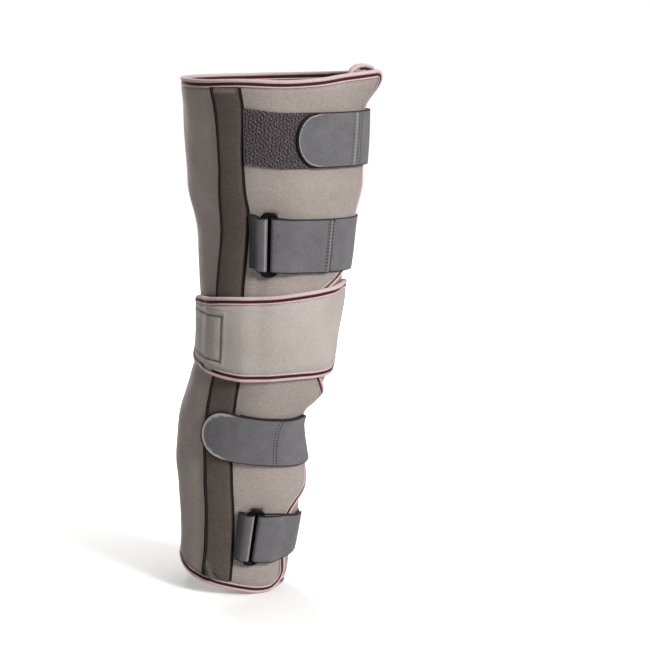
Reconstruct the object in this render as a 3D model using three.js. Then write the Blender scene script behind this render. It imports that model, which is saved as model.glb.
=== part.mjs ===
// Knee immobilizer closed in its worn shape, slightly bent: one foam-laminate panel wrapped a little more
// than once round, bound with tape, a stay pocket down its outer side, four straps that fold through
// plastic rings, and a wide band across the knee.
//
// Millimetres, +Z up, -Y is the front and +X the inner side. The origin is inside the hollow, at the
// height of the knee. Angles go round in degrees, from 0 at the front to 90 at the inner side.

import * as THREE from "three";

// Overall size
const thighLength = 237; // origin to the top rim
const shinLength = 243; // origin to the bottom rim
const kneeWidth = 124; // over the panel at the knee, side to side
const kneeDepth = 120; // over the panel at the knee, front to back

// Panel and its binding
const panelWall = 4.5;
const overlapGap = 1; // between the two layers where the flaps overlap
const cornerRadius = 22;
const flapCorner = 7; // radius of the outer flap's top corner
const flareReach = 16; // how far the outer flap's top corner stands off
const flareRise = 8; // the flaps reach their full flare this far above the top rim's datum
const panelSpan = 590; // round the panel from flap edge to flap edge
const strapPinch = 1.2; // how far a strap presses the foam in
const tapeWidth = 8;
const tapeWall = 1.1;
const marginStep = 2; // from the tape's border to the full wall
const seamGap = 0.45; // between pieces sewn to each other

// Stay pocket
const pocketWidth = 27;
const pocketRise = 3;
const pocketStart = 1; // from the tape's border to the pocket's end

// Straps, rings and knee band
const strapWidth = 49.5;
const strapWall = 1.6;
const strapGap = 0.7; // under a strap
const bandGap = 1.1; // under the knee band
const foldGap = 0.5; // between the two layers of a folded strap
const tipLength = 18; // how much of a strap's round tip is rounded
const tipCorner = 5; // corner radius of a square tip
const sewnGap = 1; // between the stay pocket and what is sewn beside it
const ringWidth = 17;
const ringHeight = 60;
const ringWall = 2.5;
const ringBar = 4;
const ringCorner = 5;
const slotCorner = 2;
const slotRoom = 1.6; // how much longer a ring's slot is than the webbing is wide
const ringEntry = 1; // from a ring's edge to where the webbing starts to turn
const strapRun = 9; // from a ring's edge to where its strap is back on the panel
const tabRun = 3; // the same for its tab
const bandSpan = 250; // round the band from end to end
const bandHeight = 75;
const bandWall = 3.6;
const bandCorner = 26;

// Sections over the panel from top to bottom. level is a share of the thigh's or the shin's length. shift
// (towards the inner side) is a share of the knee's width, back (away from the front) of the length that
// level follows. The half widths and half depths are shares of half the knee's width and depth.
const sections = [
  { level: 1.06, shift: 0.046, back: 0.074, outer: 1.405, inner: 1.4, front: 1.38, rear: 1.52 },
  { level: 0.79, shift: 0.042, back: 0.054, outer: 1.363, inner: 1.34, front: 1.333, rear: 1.45 },
  { level: 0.58, shift: 0.045, back: 0.039, outer: 1.29, inner: 1.28, front: 1.267, rear: 1.367 },
  { level: 0.42, shift: 0.045, back: 0.027, outer: 1.185, inner: 1.175, front: 1.183, rear: 1.25 },
  { level: 0.27, shift: 0.03, back: 0.016, outer: 1.14, inner: 1.125, front: 1.1, rear: 1.12 },
  { level: 0.07, shift: -0.011, back: 0.003, outer: 1.018, inner: 1.09, front: 1.067, rear: 1 },
  { level: -0.1, shift: -0.05, back: 0.005, outer: 1, inner: 1.045, front: 1.017, rear: 0.97 },
  { level: -0.18, shift: -0.081, back: 0.012, outer: 1.07, inner: 0.935, front: 0.967, rear: 0.985 },
  { level: -0.23, shift: -0.102, back: 0.019, outer: 1.09, inner: 0.8, front: 0.933, rear: 1.02 },
  { level: -0.28, shift: -0.123, back: 0.027, outer: 1.1, inner: 0.745, front: 0.9, rear: 1.05 },
  { level: -0.35, shift: -0.15, back: 0.039, outer: 1.121, inner: 0.785, front: 0.867, rear: 1.1 },
  { level: -0.51, shift: -0.193, back: 0.066, outer: 1.081, inner: 0.93, front: 0.817, rear: 1.133 },
  { level: -0.69, shift: -0.24, back: 0.093, outer: 0.947, inner: 0.985, front: 0.767, rear: 1.033 },
  { level: -0.86, shift: -0.285, back: 0.119, outer: 0.855, inner: 0.945, front: 0.733, rear: 0.9 },
  { level: -1.06, shift: -0.343, back: 0.15, outer: 0.79, inner: 0.88, front: 0.75, rear: 0.86 },
];

// Rise of both rims along the panel, as shares of the thigh's and the shin's length. sweep runs from the
// inner flap's edge round the back and the front to the outer flap's edge.
const rims = [
  { sweep: 40, top: 0.085, bottom: 0.02 },
  { sweep: 65, top: 0.08, bottom: 0.02 },
  { sweep: 95, top: 0.048, bottom: 0.02 },
  { sweep: 180, top: 0.02, bottom: 0.05 },
  { sweep: 275, top: 0.012, bottom: 0.07 },
  { sweep: 310, top: 0.008, bottom: 0.047 },
  { sweep: 340, top: 0.014, bottom: 0.039 },
  { sweep: 368, top: 0.011, bottom: 0.032 },
  { sweep: 388, top: 0.019, bottom: 0.024 },
  { sweep: 410, top: 0.036, bottom: 0.021 },
  { sweep: 446, top: 0.059, bottom: 0.03 },
];

// Angles of the panel's two free edges. The outer one has a deep notch in front of the knee.
const flapEdges = [
  { level: 1.06, inner: 54, outer: 74 },
  { level: 0.9, inner: 52, outer: 81 },
  { level: 0.79, inner: 50, outer: 86 },
  { level: 0.5, inner: 44, outer: 86 },
  { level: 0.3, inner: 34, outer: 68 },
  { level: 0.22, inner: 28, outer: 41 },
  { level: 0.05, inner: 22, outer: 31 },
  { level: -0.09, inner: 26, outer: 58 },
  { level: -0.16, inner: 32, outer: 77 },
  { level: -0.3, inner: 38, outer: 85 },
  { level: -0.43, inner: 38, outer: 82 },
  { level: -0.5, inner: 37, outer: 84 },
  { level: -0.56, inner: 36, outer: 79 },
  { level: -0.605, inner: 35, outer: 62 },
  { level: -0.65, inner: 34, outer: 52 },
  { level: -0.8, inner: 34, outer: 53 },
  { level: -0.9, inner: 36, outer: 59 },
  { level: -1.06, inner: 38, outer: 60 },
];

// The stay pocket's centre line and width. width is a share of the pocket's width.
const pocketLine = [
  { level: 1.06, angle: -33, width: 1.12 },
  { level: 0.9, angle: -28.6, width: 1.06 },
  { level: 0.73, angle: -28, width: 0.86 },
  { level: 0.6, angle: -28.3, width: 0.94 },
  { level: 0.5, angle: -28.8, width: 1.08 },
  { level: 0.4, angle: -31, width: 1.03 },
  { level: 0.15, angle: -34.5, width: 1.05 },
  { level: -0.17, angle: -31, width: 0.98 },
  { level: -0.55, angle: -21.5, width: 0.99 },
  { level: -1.06, angle: -15, width: 1 },
];

// Straps. lead raises the end beside the stay pocket and dip lowers the inner side, as shares of the
// strap's width. ring is the ring's angle, side the way the strap leaves it (1 towards the inner side),
// root the angle where the strap is sewn on (none: beside the stay pocket), tip the angle of its free end
// and anchor the angle where the ring's tab is sewn on (none: beside the stay pocket).
const straps = [
  { name: "strap_1", level: 0.79, lead: 0.09, dip: 0, ring: 122, side: -1, tip: 14.5, anchor: 144 },
  { name: "strap_2", level: 0.392, lead: 0.09, dip: 0, ring: -3, side: 1, root: 150, tip: 46, square: 1 },
  { name: "strap_3", level: -0.324, lead: 0, dip: 0.12, ring: 135, side: -1, tip: -40, anchor: 160 },
  { name: "strap_4", level: -0.733, lead: 0, dip: 0.15, ring: 14, side: 1, root: 150, tip: 104 },
];
const leadAngles = { from: -24, to: 8 };
const dipAngles = { from: 15, to: 85 };

// Angles between which the layers and the flares ease in and out
const lapAngles = { from: 150, to: 215 };
const outerFlare = { from: 400, to: 440 };
const innerFlare = { from: 40, to: 86, fallFrom: 95, fallTo: 165, share: 0.55 };
const settleAngles = { from: 4, to: 32 }; // past the outer flap's edge
const ringLiftSpan = 14; // along a strap, over which it comes down from its ring
const pocketClimb = { from: -1, to: 12 }; // past the stay pocket's edge

// How finely the shapes are cut
const panelSteps = 31;
const bandSteps = 18;
const strapStep = 10; // degrees
const turnSteps = 6;
const tipShares = [0.45, 0.75, 0.93, 1];
const kneeRows = [0.255, 0.22, 0.18, 0.11, 0.03, -0.05, -0.1, -0.14, -0.18];
const calfValley = -0.275; // the sharpest bend under the third strap
const shinRows = [0.42, 0.58, 0.68]; // from the third strap to the fourth

// Outline of the knee band: top and bottom edge as shares of its height above the knee's centre
const bandLevel = 0.05;
const bandEnds = { outer: -99, inner: 122 };
const bandOutline = [
  { angle: -100, top: 0.27, bottom: -0.5 },
  { angle: -54, top: 0.325, bottom: -0.535 },
  { angle: -31, top: 0.385, bottom: -0.53 },
  { angle: 0, top: 0.455, bottom: -0.475 },
  { angle: 25, top: 0.535, bottom: -0.42 },
  { angle: 55, top: 0.615, bottom: -0.4 },
  { angle: 85, top: 0.645, bottom: -0.37 },
  { angle: 125, top: 0.6, bottom: -0.38 },
];

// Colours
const panelCloth = new THREE.MeshStandardMaterial({ color: 0x9a918c, roughness: 0.95 });
const tapeCloth = new THREE.MeshStandardMaterial({ color: 0xcdb8bb, roughness: 0.85 });
const pocketCloth = new THREE.MeshStandardMaterial({ color: 0x554a46, roughness: 0.95 });
const bandCloth = new THREE.MeshStandardMaterial({ color: 0xb1aaa4, roughness: 0.95 });
const strapWebbing = new THREE.MeshStandardMaterial({ color: 0x77777a, roughness: 0.9 });
const ringPlastic = new THREE.MeshStandardMaterial({ color: 0x1d1817, roughness: 0.45 });

const degree = Math.PI / 180;
const step = THREE.MathUtils.smoothstep;
const mix = THREE.MathUtils.lerp;

// A smooth curve through one column of a table
function curve(rows, by, key, value) {
  const x = rows.map((row) => row[by]);
  const y = rows.map((row) => row[key]);
  const last = rows.length - 1;
  const up = x[last] > x[0] ? 1 : -1;
  let i = 0;
  while (i < last - 1 && (value - x[i + 1]) * up > 0) i++;
  const slope = (k) => (y[k + 1] - y[k]) / (x[k + 1] - x[k]);
  const tangent = (k) => {
    if (k === 0) return slope(0);
    if (k === last) return slope(last - 1);
    return (slope(k - 1) + slope(k)) / 2;
  };
  const span = x[i + 1] - x[i];
  const t = THREE.MathUtils.clamp((value - x[i]) / span, 0, 1);
  const start = (1 + 2 * t) * (1 - t) ** 2 * y[i] + t * (1 - t) ** 2 * span * tangent(i);
  const end = t * t * (3 - 2 * t) * y[i + 1] + t * t * (t - 1) * span * tangent(i + 1);
  return start + end;
}

const length = (z) => (z > 0 ? thighLength : shinLength);
const height = (level) => level * (level > 0 ? thighLength : shinLength);
const onSections = (key, z) => curve(sections, "level", key, z / length(z));
const onPocket = (key, z) => curve(pocketLine, "level", key, z / length(z));
const onFlaps = (key, z) => curve(flapEdges, "level", key, z / length(z));

function hollowCentre(z) {
  return new THREE.Vector3(onSections("shift", z) * kneeWidth, onSections("back", z) * length(z), z);
}

// How far the straps press the foam in at a height
function pinch(z) {
  const press = (strap) => 1 - step(Math.abs(z - height(strap.level)) - strapWidth / 2, 0, strapWidth / 2);
  return strapPinch * Math.max(...straps.map(press));
}

// The point at an angle and a height, lifted off the panel's outer face
function surface(angle, z, lift) {
  const sine = Math.sin(angle * degree);
  const cosine = Math.cos(angle * degree);
  const wide = onSections(sine > 0 ? "inner" : "outer", z) * (kneeWidth / 2) - pinch(z);
  const deep = onSections(cosine > 0 ? "front" : "rear", z) * (kneeDepth / 2) - pinch(z);
  const normal = new THREE.Vector2(sine / wide, -cosine / deep).normalize();
  const up = hollowCentre(z + 1).sub(hollowCentre(z - 1)).normalize();
  const side = new THREE.Vector3(1, 0, 0).addScaledVector(up, -up.x).normalize();
  const rear = new THREE.Vector3().crossVectors(up, side);
  return hollowCentre(z)
    .addScaledVector(side, wide * sine + lift * normal.x)
    .addScaledVector(rear, -deep * cosine + lift * normal.y);
}

// Degrees of angle that a distance round the panel takes
function degrees(distance, angle, z) {
  const oneDegree = surface(angle + 0.5, z, 0).distanceTo(surface(angle - 0.5, z, 0));
  return distance / oneDegree;
}

// Turns triangles so that they face out of the closed body that they form
function closedBody(points, faces) {
  const volume = faces.reduce((sum, [a, b, c]) => {
    return sum + points[a].dot(new THREE.Vector3().crossVectors(points[b], points[c]));
  }, 0);
  const turned = volume > 0 ? faces : faces.map(([a, b, c]) => [a, c, b]);
  const geometry = new THREE.BufferGeometry().setFromPoints(points);
  geometry.setIndex(turned.flat());
  geometry.computeVertexNormals();
  return geometry;
}

// Joins sections with as many points each into a tube, closed on itself or by flat ends
function tube(rings, loop) {
  const count = rings[0].length;
  const points = rings.flat();
  const faces = [];
  const last = loop ? rings.length : rings.length - 1;
  for (let i = 0; i < last; i++) {
    for (let j = 0; j < count; j++) {
      const a = i * count + j;
      const b = i * count + ((j + 1) % count);
      const c = ((i + 1) % rings.length) * count + j;
      const d = ((i + 1) % rings.length) * count + ((j + 1) % count);
      const falling = points[a].distanceTo(points[d]) < points[b].distanceTo(points[c]);
      if (falling) faces.push([a, b, d], [a, d, c]);
      else faces.push([a, b, c], [b, d, c]);
    }
  }
  if (!loop) {
    // An end's points run along one face and back along the other, so it closes as a strip
    const strip = (start, turn) => {
      for (let j = 0; j < count / 2 - 1; j++) {
        const quad = [start + j, start + j + 1, start + count - 2 - j, start + count - 1 - j];
        const [a, b, c, d] = turn ? quad.reverse() : quad;
        faces.push([a, c, b], [a, d, c]);
      }
    };
    strip(0, false);
    strip((rings.length - 1) * count, true);
  }
  return closedBody(points, faces);
}

// A padded sheet between an outer and an inner grid of points
function sheet(grid) {
  const rings = grid.map((row) => [...row.map((p) => p.outer), ...row.map((p) => p.inner).reverse()]);
  return tube(rings, false);
}

// Tape folded over the sheet's edge all the way round. It lies on the sheet's thin margin, and ends short
// of the margin's inner border.
const tapeCover = 0.9;
function binding(grid) {
  const rows = grid.length - 1;
  const columns = grid[0].length - 1;
  const border = [];
  for (let j = 0; j < columns; j++) border.push([0, j]);
  for (let i = 0; i < rows; i++) border.push([i, columns]);
  for (let j = columns; j > 0; j--) border.push([rows, j]);
  for (let i = rows; i > 0; i--) border.push([i, 0]);
  const inside = (k, most) => THREE.MathUtils.clamp(k, 1, most - 1);
  const rings = border.map(([i, j]) => {
    const edge = grid[i][j];
    const margin = grid[inside(i, rows)][inside(j, columns)];
    const face = edge.outer.clone().sub(edge.inner).normalize();
    const away = edge.outer.clone().sub(margin.outer);
    away.addScaledVector(face, -away.dot(face)).normalize();
    const at = (side, depth, out, over) => {
      const point = edge[side].clone().lerp(margin[side], depth);
      return point.addScaledVector(away, out).addScaledVector(face, side === "outer" ? over : -over);
    };
    const far = seamGap + tapeWall;
    return [
      at("outer", tapeCover, 0, far),
      at("outer", 0, far, far),
      at("inner", 0, far, far),
      at("inner", tapeCover, 0, far),
      at("inner", tapeCover, 0, seamGap),
      at("inner", 0, seamGap, seamGap),
      at("outer", 0, seamGap, seamGap),
      at("outer", tapeCover, 0, seamGap),
    ];
  });
  return tube(rings, true);
}

// How much a rounded corner takes off an edge at a depth below the other edge
function cornerCut(depth, radius) {
  const short = Math.max(radius - depth, 0);
  return radius - Math.sqrt(radius ** 2 - short ** 2);
}

// How far a sheet's margin rows and columns lie from its edge
const marginDepths = [0, tapeWidth, tapeWidth + marginStep];

// Fractions of an edge's length for the columns of a sheet: a margin at each end, even between
function columnShares(count, span) {
  const margins = marginDepths.map((depth) => depth / span);
  const even = [];
  for (let k = 1; k < count; k++) even.push(mix(margins[2], 1 - margins[2], k / count));
  return [...margins, ...even, ...margins.map((share) => 1 - share).reverse()];
}

const recess = seamGap + tapeWall; // depth of the margin that the tape fills
const isMargin = (k, count) => k < 2 || k > count - 3;

// Panel
const acrossStrap = (level) => [
  height(level) + strapWidth / 2,
  height(level),
  height(level) - strapWidth / 2,
];
const [level1, level2, level3, level4] = straps.map((strap) => strap.level);
const panelRows = [
  ...marginDepths.map((depth) => ({ rim: "top", depth })),
  ...acrossStrap(level1).map((z) => ({ z })),
  { z: height((level1 + level2) / 2) },
  ...acrossStrap(level2).map((z) => ({ z })),
  ...kneeRows.map((level) => ({ z: height(level) })),
  { z: height(level3) + strapWidth / 2 },
  { z: height(calfValley) },
  { z: height(level3) },
  { z: height(level3) - strapWidth / 2 },
  ...shinRows.map((share) => ({ z: height(mix(level3, level4, share)) })),
  ...acrossStrap(level4).map((z) => ({ z })),
  ...[...marginDepths].reverse().map((depth) => ({ rim: "bottom", depth })),
];

function rimHeight(rim, sweep) {
  const rise = curve(rims, "sweep", rim, sweep);
  return rim === "top" ? thighLength * (1 + rise) : -shinLength * (1 - rise);
}

function rowHeight(row, sweep) {
  if (row.rim === "top") return rimHeight("top", sweep) - row.depth;
  if (row.rim === "bottom") return rimHeight("bottom", sweep) + row.depth;
  return row.z;
}

// The panel's layers: the inner flap lies under the outer one and comes level with it at the back
function innerSet(sweep) {
  return (panelWall + overlapGap) * (1 - step(sweep, lapAngles.from, lapAngles.to));
}

// The flaps stand off above the top strap
function flare(sweep, z) {
  const above = step(z, height(level1) + strapWidth / 2, thighLength + flareRise);
  const { from, to, fallFrom, fallTo, share } = innerFlare;
  const outer = step(sweep, outerFlare.from, outerFlare.to);
  const inner = share * step(sweep, from, to) * (1 - step(sweep, fallFrom, fallTo));
  return flareReach * above * (sweep > 360 ? outer : inner);
}

const panelColumns = columnShares(panelSteps, panelSpan);
const panelGrid = panelRows.map((row, i) => {
  const reach = (sweep, key) => {
    const z = rowHeight(row, sweep);
    const top = rimHeight("top", sweep) - z;
    const bottom = z - rimHeight("bottom", sweep);
    const radius = key === "outer" && z > 0 ? flapCorner : cornerRadius;
    const cut = cornerCut(Math.min(top, bottom), radius);
    return { z, angle: onFlaps(key, z), cut };
  };
  const start = reach(onFlaps("inner", thighLength), "inner");
  const end = reach(360 + onFlaps("outer", thighLength), "outer");
  const from = start.angle + degrees(start.cut, start.angle, start.z);
  const to = 360 + end.angle - degrees(end.cut, end.angle, end.z);
  return panelColumns.map((share, j) => {
    const sweep = mix(from, to, share);
    const z = rowHeight(row, sweep);
    const thin = isMargin(i, panelRows.length) || isMargin(j, panelColumns.length) ? recess : 0;
    const lift = flare(sweep, z) - innerSet(sweep);
    return { outer: surface(sweep, z, lift - thin), inner: surface(sweep, z, lift - panelWall + thin) };
  });
});

// Stay pocket: a flat sleeve with sloping sides, on the panel's outer face
const pocketProfile = [
  { across: -0.5, rise: 0.93 },
  { across: -0.16, rise: 1 },
  { across: 0.16, rise: 1 },
  { across: 0.5, rise: 0.93 },
];
const pocketCrown = 0.92; // width of its outer face against its foot
const pocketTop = seamGap + pocketRise; // over the panel's outer face

function stayPocket() {
  const clear = tapeWidth + pocketStart;
  const rings = panelRows
    .filter((row, i) => !isMargin(i, panelRows.length))
    .map((row) => {
      const beside = rowHeight(row, 360 + pocketLine[0].angle);
      const z = row.rim ? beside + (row.rim === "top" ? -1 : 1) * (clear - row.depth) : beside;
      const centre = onPocket("angle", z);
      const wide = onPocket("width", z) * pocketWidth;
      const around = (across) => centre + degrees(across * wide, centre, z);
      const point = (across, rise) => surface(around(across), z, seamGap + rise);
      const over = pocketProfile.map((p) => point(p.across * pocketCrown, p.rise * pocketRise));
      const under = pocketProfile.map((p) => point(p.across, 0));
      return [...over, ...under.reverse()];
    });
  return tube(rings, false);
}

// Beside the stay pocket, on its inner side, over a strap's whole width
function besidePocket(z) {
  const edges = [z - strapWidth / 2, z, z + strapWidth / 2].map((level) => {
    const centre = onPocket("angle", level);
    const reach = (onPocket("width", level) * pocketWidth) / 2 + sewnGap;
    return centre + degrees(reach, centre, level);
  });
  return Math.max(...edges);
}

// How far a strap's lower face stays above the panel's outer face: past the outer flap's edge it comes
// down to the inner layer
function settle(angle, z) {
  const edge = onFlaps("outer", z);
  return -innerSet(angle) * step(angle, edge + settleAngles.from, edge + settleAngles.to);
}

const turnRadius = ringWall / 2 + seamGap + strapWall / 2;
const turnInset = ringWall * 0.15; // of the turn's centre, from the bar's inner edge
const tightest = 1.2; // the sharpest curve under a ring, against the knee's
const layerLift = strapGap + strapWall / 2;
const foldedLift = layerLift + strapWall + foldGap;

// A ring's own axes, at the height of a strap's centre line
function ringFrame(strap) {
  const z = strapHeight(strap, strap.ring);
  const under = settle(strap.ring, z) + layerLift;
  const [low, , high] = acrossSurface(strap, strap.ring, layerLift);
  const long = high.clone().sub(low).normalize();
  const round = surface(strap.ring + 1, z, under).sub(surface(strap.ring - 1, z, under));
  round.addScaledVector(long, -round.dot(long)).normalize();
  const out = new THREE.Vector3().crossVectors(round, long);
  const sag = ((ringWidth / 2) ** 2 / kneeWidth) * tightest;
  const origin = low.clone().lerp(high, 0.5).addScaledVector(out, turnRadius + sag);
  return { origin, round, long, out };
}

// The height of a strap's centre line at an angle
function strapHeight(strap, angle) {
  const rise = strap.lead * (1 - step(angle, leadAngles.from, leadAngles.to));
  const fall = strap.dip * step(angle, dipAngles.from, dipAngles.to);
  return height(strap.level) + (rise - fall) * strapWidth;
}

// Three points across a ribbon, on the surface or in a ring's own axes. Heights fan out round a bend, so
// they are scaled to keep the webbing's width.
function acrossSurface(strap, angle, lift, share = 1) {
  const z = strapHeight(strap, angle);
  const over = settle(angle, z) + lift;
  const at = (distance) => surface(angle, z + distance, over);
  const even = strapWidth / at(strapWidth / 2).distanceTo(at(-strapWidth / 2));
  return [-0.5, 0, 0.5].map((half) => at(half * share * even * strapWidth));
}

function acrossRing(frame, x, y) {
  return [-0.5, 0, 0.5].map((half) =>
    frame.origin
      .clone()
      .addScaledVector(frame.round, x)
      .addScaledVector(frame.out, y)
      .addScaledVector(frame.long, half * strapWidth),
  );
}

// The turn of a ribbon round one of its ring's bars, from under the bar to over it
function turn(frame, side) {
  const past = side * (ringWidth / 2 + ringEntry);
  const centre = side * (ringWidth / 2 - ringBar + turnInset);
  const arc = [];
  for (let k = 0; k <= turnSteps; k++) {
    const angle = (k / turnSteps) * Math.PI;
    const x = centre - side * turnRadius * Math.sin(angle);
    arc.push(acrossRing(frame, x, -turnRadius * Math.cos(angle)));
  }
  return [acrossRing(frame, past, -turnRadius), ...arc, acrossRing(frame, past, turnRadius)];
}

// A flat ribbon through stations of three points each
function ribbon(stations, wall) {
  const rings = stations.map((points, i) => {
    const before = stations[Math.max(i - 1, 0)];
    const after = stations[Math.min(i + 1, stations.length - 1)];
    const along = after[1].clone().sub(before[1]);
    const face = along.cross(points[2].clone().sub(points[0])).normalize();
    const over = points.map((point) => point.clone().addScaledVector(face, wall / 2));
    const under = points.map((point) => point.clone().addScaledVector(face, -wall / 2));
    return [...over, ...under.reverse()];
  });
  return tube(rings, false);
}

// Angles from one to another in even steps, without the first
function sweepAngles(from, to) {
  const count = Math.max(2, Math.round(Math.abs(to - from) / strapStep));
  return Array.from({ length: count }, (_, k) => mix(from, to, (k + 1) / count));
}

const tipFullness = 0.98; // keeps a strap's round tip from ending in a point

// One webbing strap: sewn at its root, through the ring and back over itself to its tip
function strapRibbon(strap) {
  const z = strapHeight(strap, strap.ring);
  const frame = ringFrame(strap);
  const pocketEdge = besidePocket(height(strap.level));
  const root = strap.root ?? pocketEdge;
  const clearRing = strap.ring + strap.side * degrees(ringWidth / 2 + strapRun, strap.ring, z);
  const below = [root, ...sweepAngles(root, clearRing)];
  const under = below.map((angle) => acrossSurface(strap, angle, layerLift));
  const rounded = strap.square ? tipCorner : tipLength;
  const corner = strap.square ? tipCorner / (strapWidth / 2) : 1;
  const tipStart = strap.tip - strap.side * degrees(rounded, strap.tip, z);
  const overPocket = pocketTop + foldGap + strapWall / 2;
  const overLift = (angle) => {
    const beside = 1 - step(Math.abs(angle - clearRing), 0, ringLiftSpan);
    const climb = 1 - step(angle, pocketEdge + pocketClimb.from, pocketEdge + pocketClimb.to);
    const pocket = strap.side < 0 ? climb : 0;
    return mix(mix(foldedLift, overPocket, pocket), layerLift + turnRadius * 2, beside);
  };
  const over = [clearRing, ...sweepAngles(clearRing, tipStart)];
  const flat = over.map((angle) => acrossSurface(strap, angle, overLift(angle)));
  const tip = tipShares.map((share) => {
    const angle = mix(tipStart, strap.tip, share);
    const narrow = 1 - corner * (1 - Math.sqrt(1 - (share * tipFullness) ** 2));
    return acrossSurface(strap, angle, overLift(angle), narrow);
  });
  return ribbon([...under, ...turn(frame, strap.side), ...flat, ...tip], strapWall);
}

// The short tab that holds a ring: sewn down with both ends together
function tabRibbon(strap) {
  const z = strapHeight(strap, strap.ring);
  const frame = ringFrame(strap);
  const anchor = strap.anchor ?? besidePocket(height(strap.level));
  const clearRing = strap.ring - strap.side * degrees(ringWidth / 2 + tabRun, strap.ring, z);
  const middle = mix(anchor, clearRing, 0.5);
  const atRing = layerLift + turnRadius * 2;
  const stations = [
    acrossSurface(strap, anchor, layerLift),
    acrossSurface(strap, middle, layerLift),
    acrossSurface(strap, clearRing, layerLift),
    ...turn(frame, -strap.side),
    acrossSurface(strap, clearRing, mix(foldedLift, atRing, 0.8)),
    acrossSurface(strap, middle, mix(foldedLift, atRing, 0.3)),
    acrossSurface(strap, anchor, foldedLift),
  ];
  return ribbon(stations, strapWall);
}

// The plastic ring between a strap and its tab
function plasticRing(strap) {
  const { origin, round, long, out } = ringFrame(strap);
  const outline = (path, wide, high, radius) => {
    const x = wide / 2;
    const y = high / 2;
    path.moveTo(-x + radius, -y);
    path.lineTo(x - radius, -y);
    path.absarc(x - radius, -y + radius, radius, -Math.PI / 2, 0);
    path.lineTo(x, y - radius);
    path.absarc(x - radius, y - radius, radius, 0, Math.PI / 2);
    path.lineTo(-x + radius, y);
    path.absarc(-x + radius, y - radius, radius, Math.PI / 2, Math.PI);
    path.lineTo(-x, -y + radius);
    path.absarc(-x + radius, -y + radius, radius, Math.PI, Math.PI * 1.5);
    return path;
  };
  const shape = outline(new THREE.Shape(), ringWidth, ringHeight, ringCorner);
  const slot = outline(new THREE.Path(), ringWidth - 2 * ringBar, strapWidth + slotRoom, slotCorner);
  shape.holes.push(slot);
  const settings = { depth: ringWall, bevelEnabled: false, curveSegments: 2 };
  const geometry = new THREE.ExtrudeGeometry(shape, settings);
  geometry.translate(0, 0, -ringWall / 2);
  const place = new THREE.Matrix4().makeBasis(round, long, out).setPosition(origin);
  return geometry.applyMatrix4(place);
}

// Knee band: a padded sheet across the front, over the stay pocket
const bandClimb = { from: 1.15, to: 2.5 }; // from the pocket's centre line, in half widths

function bandLift(angle, z) {
  const centre = onPocket("angle", z);
  const fromPocket = Math.abs(angle - centre) / degrees(pocketWidth / 2, centre, z);
  const climb = 1 - step(fromPocket, bandClimb.from, bandClimb.to);
  return settle(angle, z) + bandGap + pocketTop * climb;
}

const bandColumns = columnShares(bandSteps, bandSpan);
const bandRows = [
  ...marginDepths.map((depth) => ({ edge: "top", depth })),
  { share: 0.25 },
  { share: 0 },
  { share: -0.25 },
  ...[...marginDepths].reverse().map((depth) => ({ edge: "bottom", depth })),
];
const bandGrid = bandRows.map((row, i) => {
  const heightAt = (angle) => {
    const centre = height(bandLevel);
    const edge = (key) => centre + curve(bandOutline, "angle", key, angle) * bandHeight;
    if (row.edge === "top") return edge("top") - row.depth;
    if (row.edge === "bottom") return edge("bottom") + row.depth;
    return mix(edge("bottom"), edge("top"), row.share + 0.5);
  };
  const cut = row.edge ? cornerCut(row.depth, bandCorner) : 0;
  const from = bandEnds.outer + degrees(cut, bandEnds.outer, heightAt(bandEnds.outer));
  const to = bandEnds.inner - degrees(cut, bandEnds.inner, heightAt(bandEnds.inner));
  return bandColumns.map((share, j) => {
    const angle = mix(from, to, share);
    const z = heightAt(angle);
    const thin = isMargin(i, bandRows.length) || isMargin(j, bandColumns.length);
    const lift = bandLift(angle, z);
    const [low, high] = thin ? [recess, bandWall - recess] : [0, bandWall];
    return { outer: surface(angle, z, lift + high), inner: surface(angle, z, lift + low) };
  });
});

const immobilizer = new THREE.Group();

function addPiece(name, geometry, material) {
  const mesh = new THREE.Mesh(geometry, material);
  mesh.name = name;
  immobilizer.add(mesh);
}

addPiece("wrap_panel", sheet(panelGrid), panelCloth);
addPiece("panel_binding", binding(panelGrid), tapeCloth);
addPiece("stay_pocket", stayPocket(), pocketCloth);
addPiece("knee_band", sheet(bandGrid), bandCloth);
addPiece("band_binding", binding(bandGrid), tapeCloth);
for (const strap of straps) {
  addPiece(strap.name, strapRibbon(strap), strapWebbing);
  addPiece(strap.name.replace("strap", "ring"), plasticRing(strap), ringPlastic);
  addPiece(strap.name.replace("strap", "tab"), tabRibbon(strap), strapWebbing);
}

export default immobilizer;
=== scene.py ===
# Knee immobilizer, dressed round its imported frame. Lengths are in millimetres until a mesh is made.
# Angles go round in degrees: 0 at the front, 90 at the inner side, as in the solids.
import math

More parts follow.
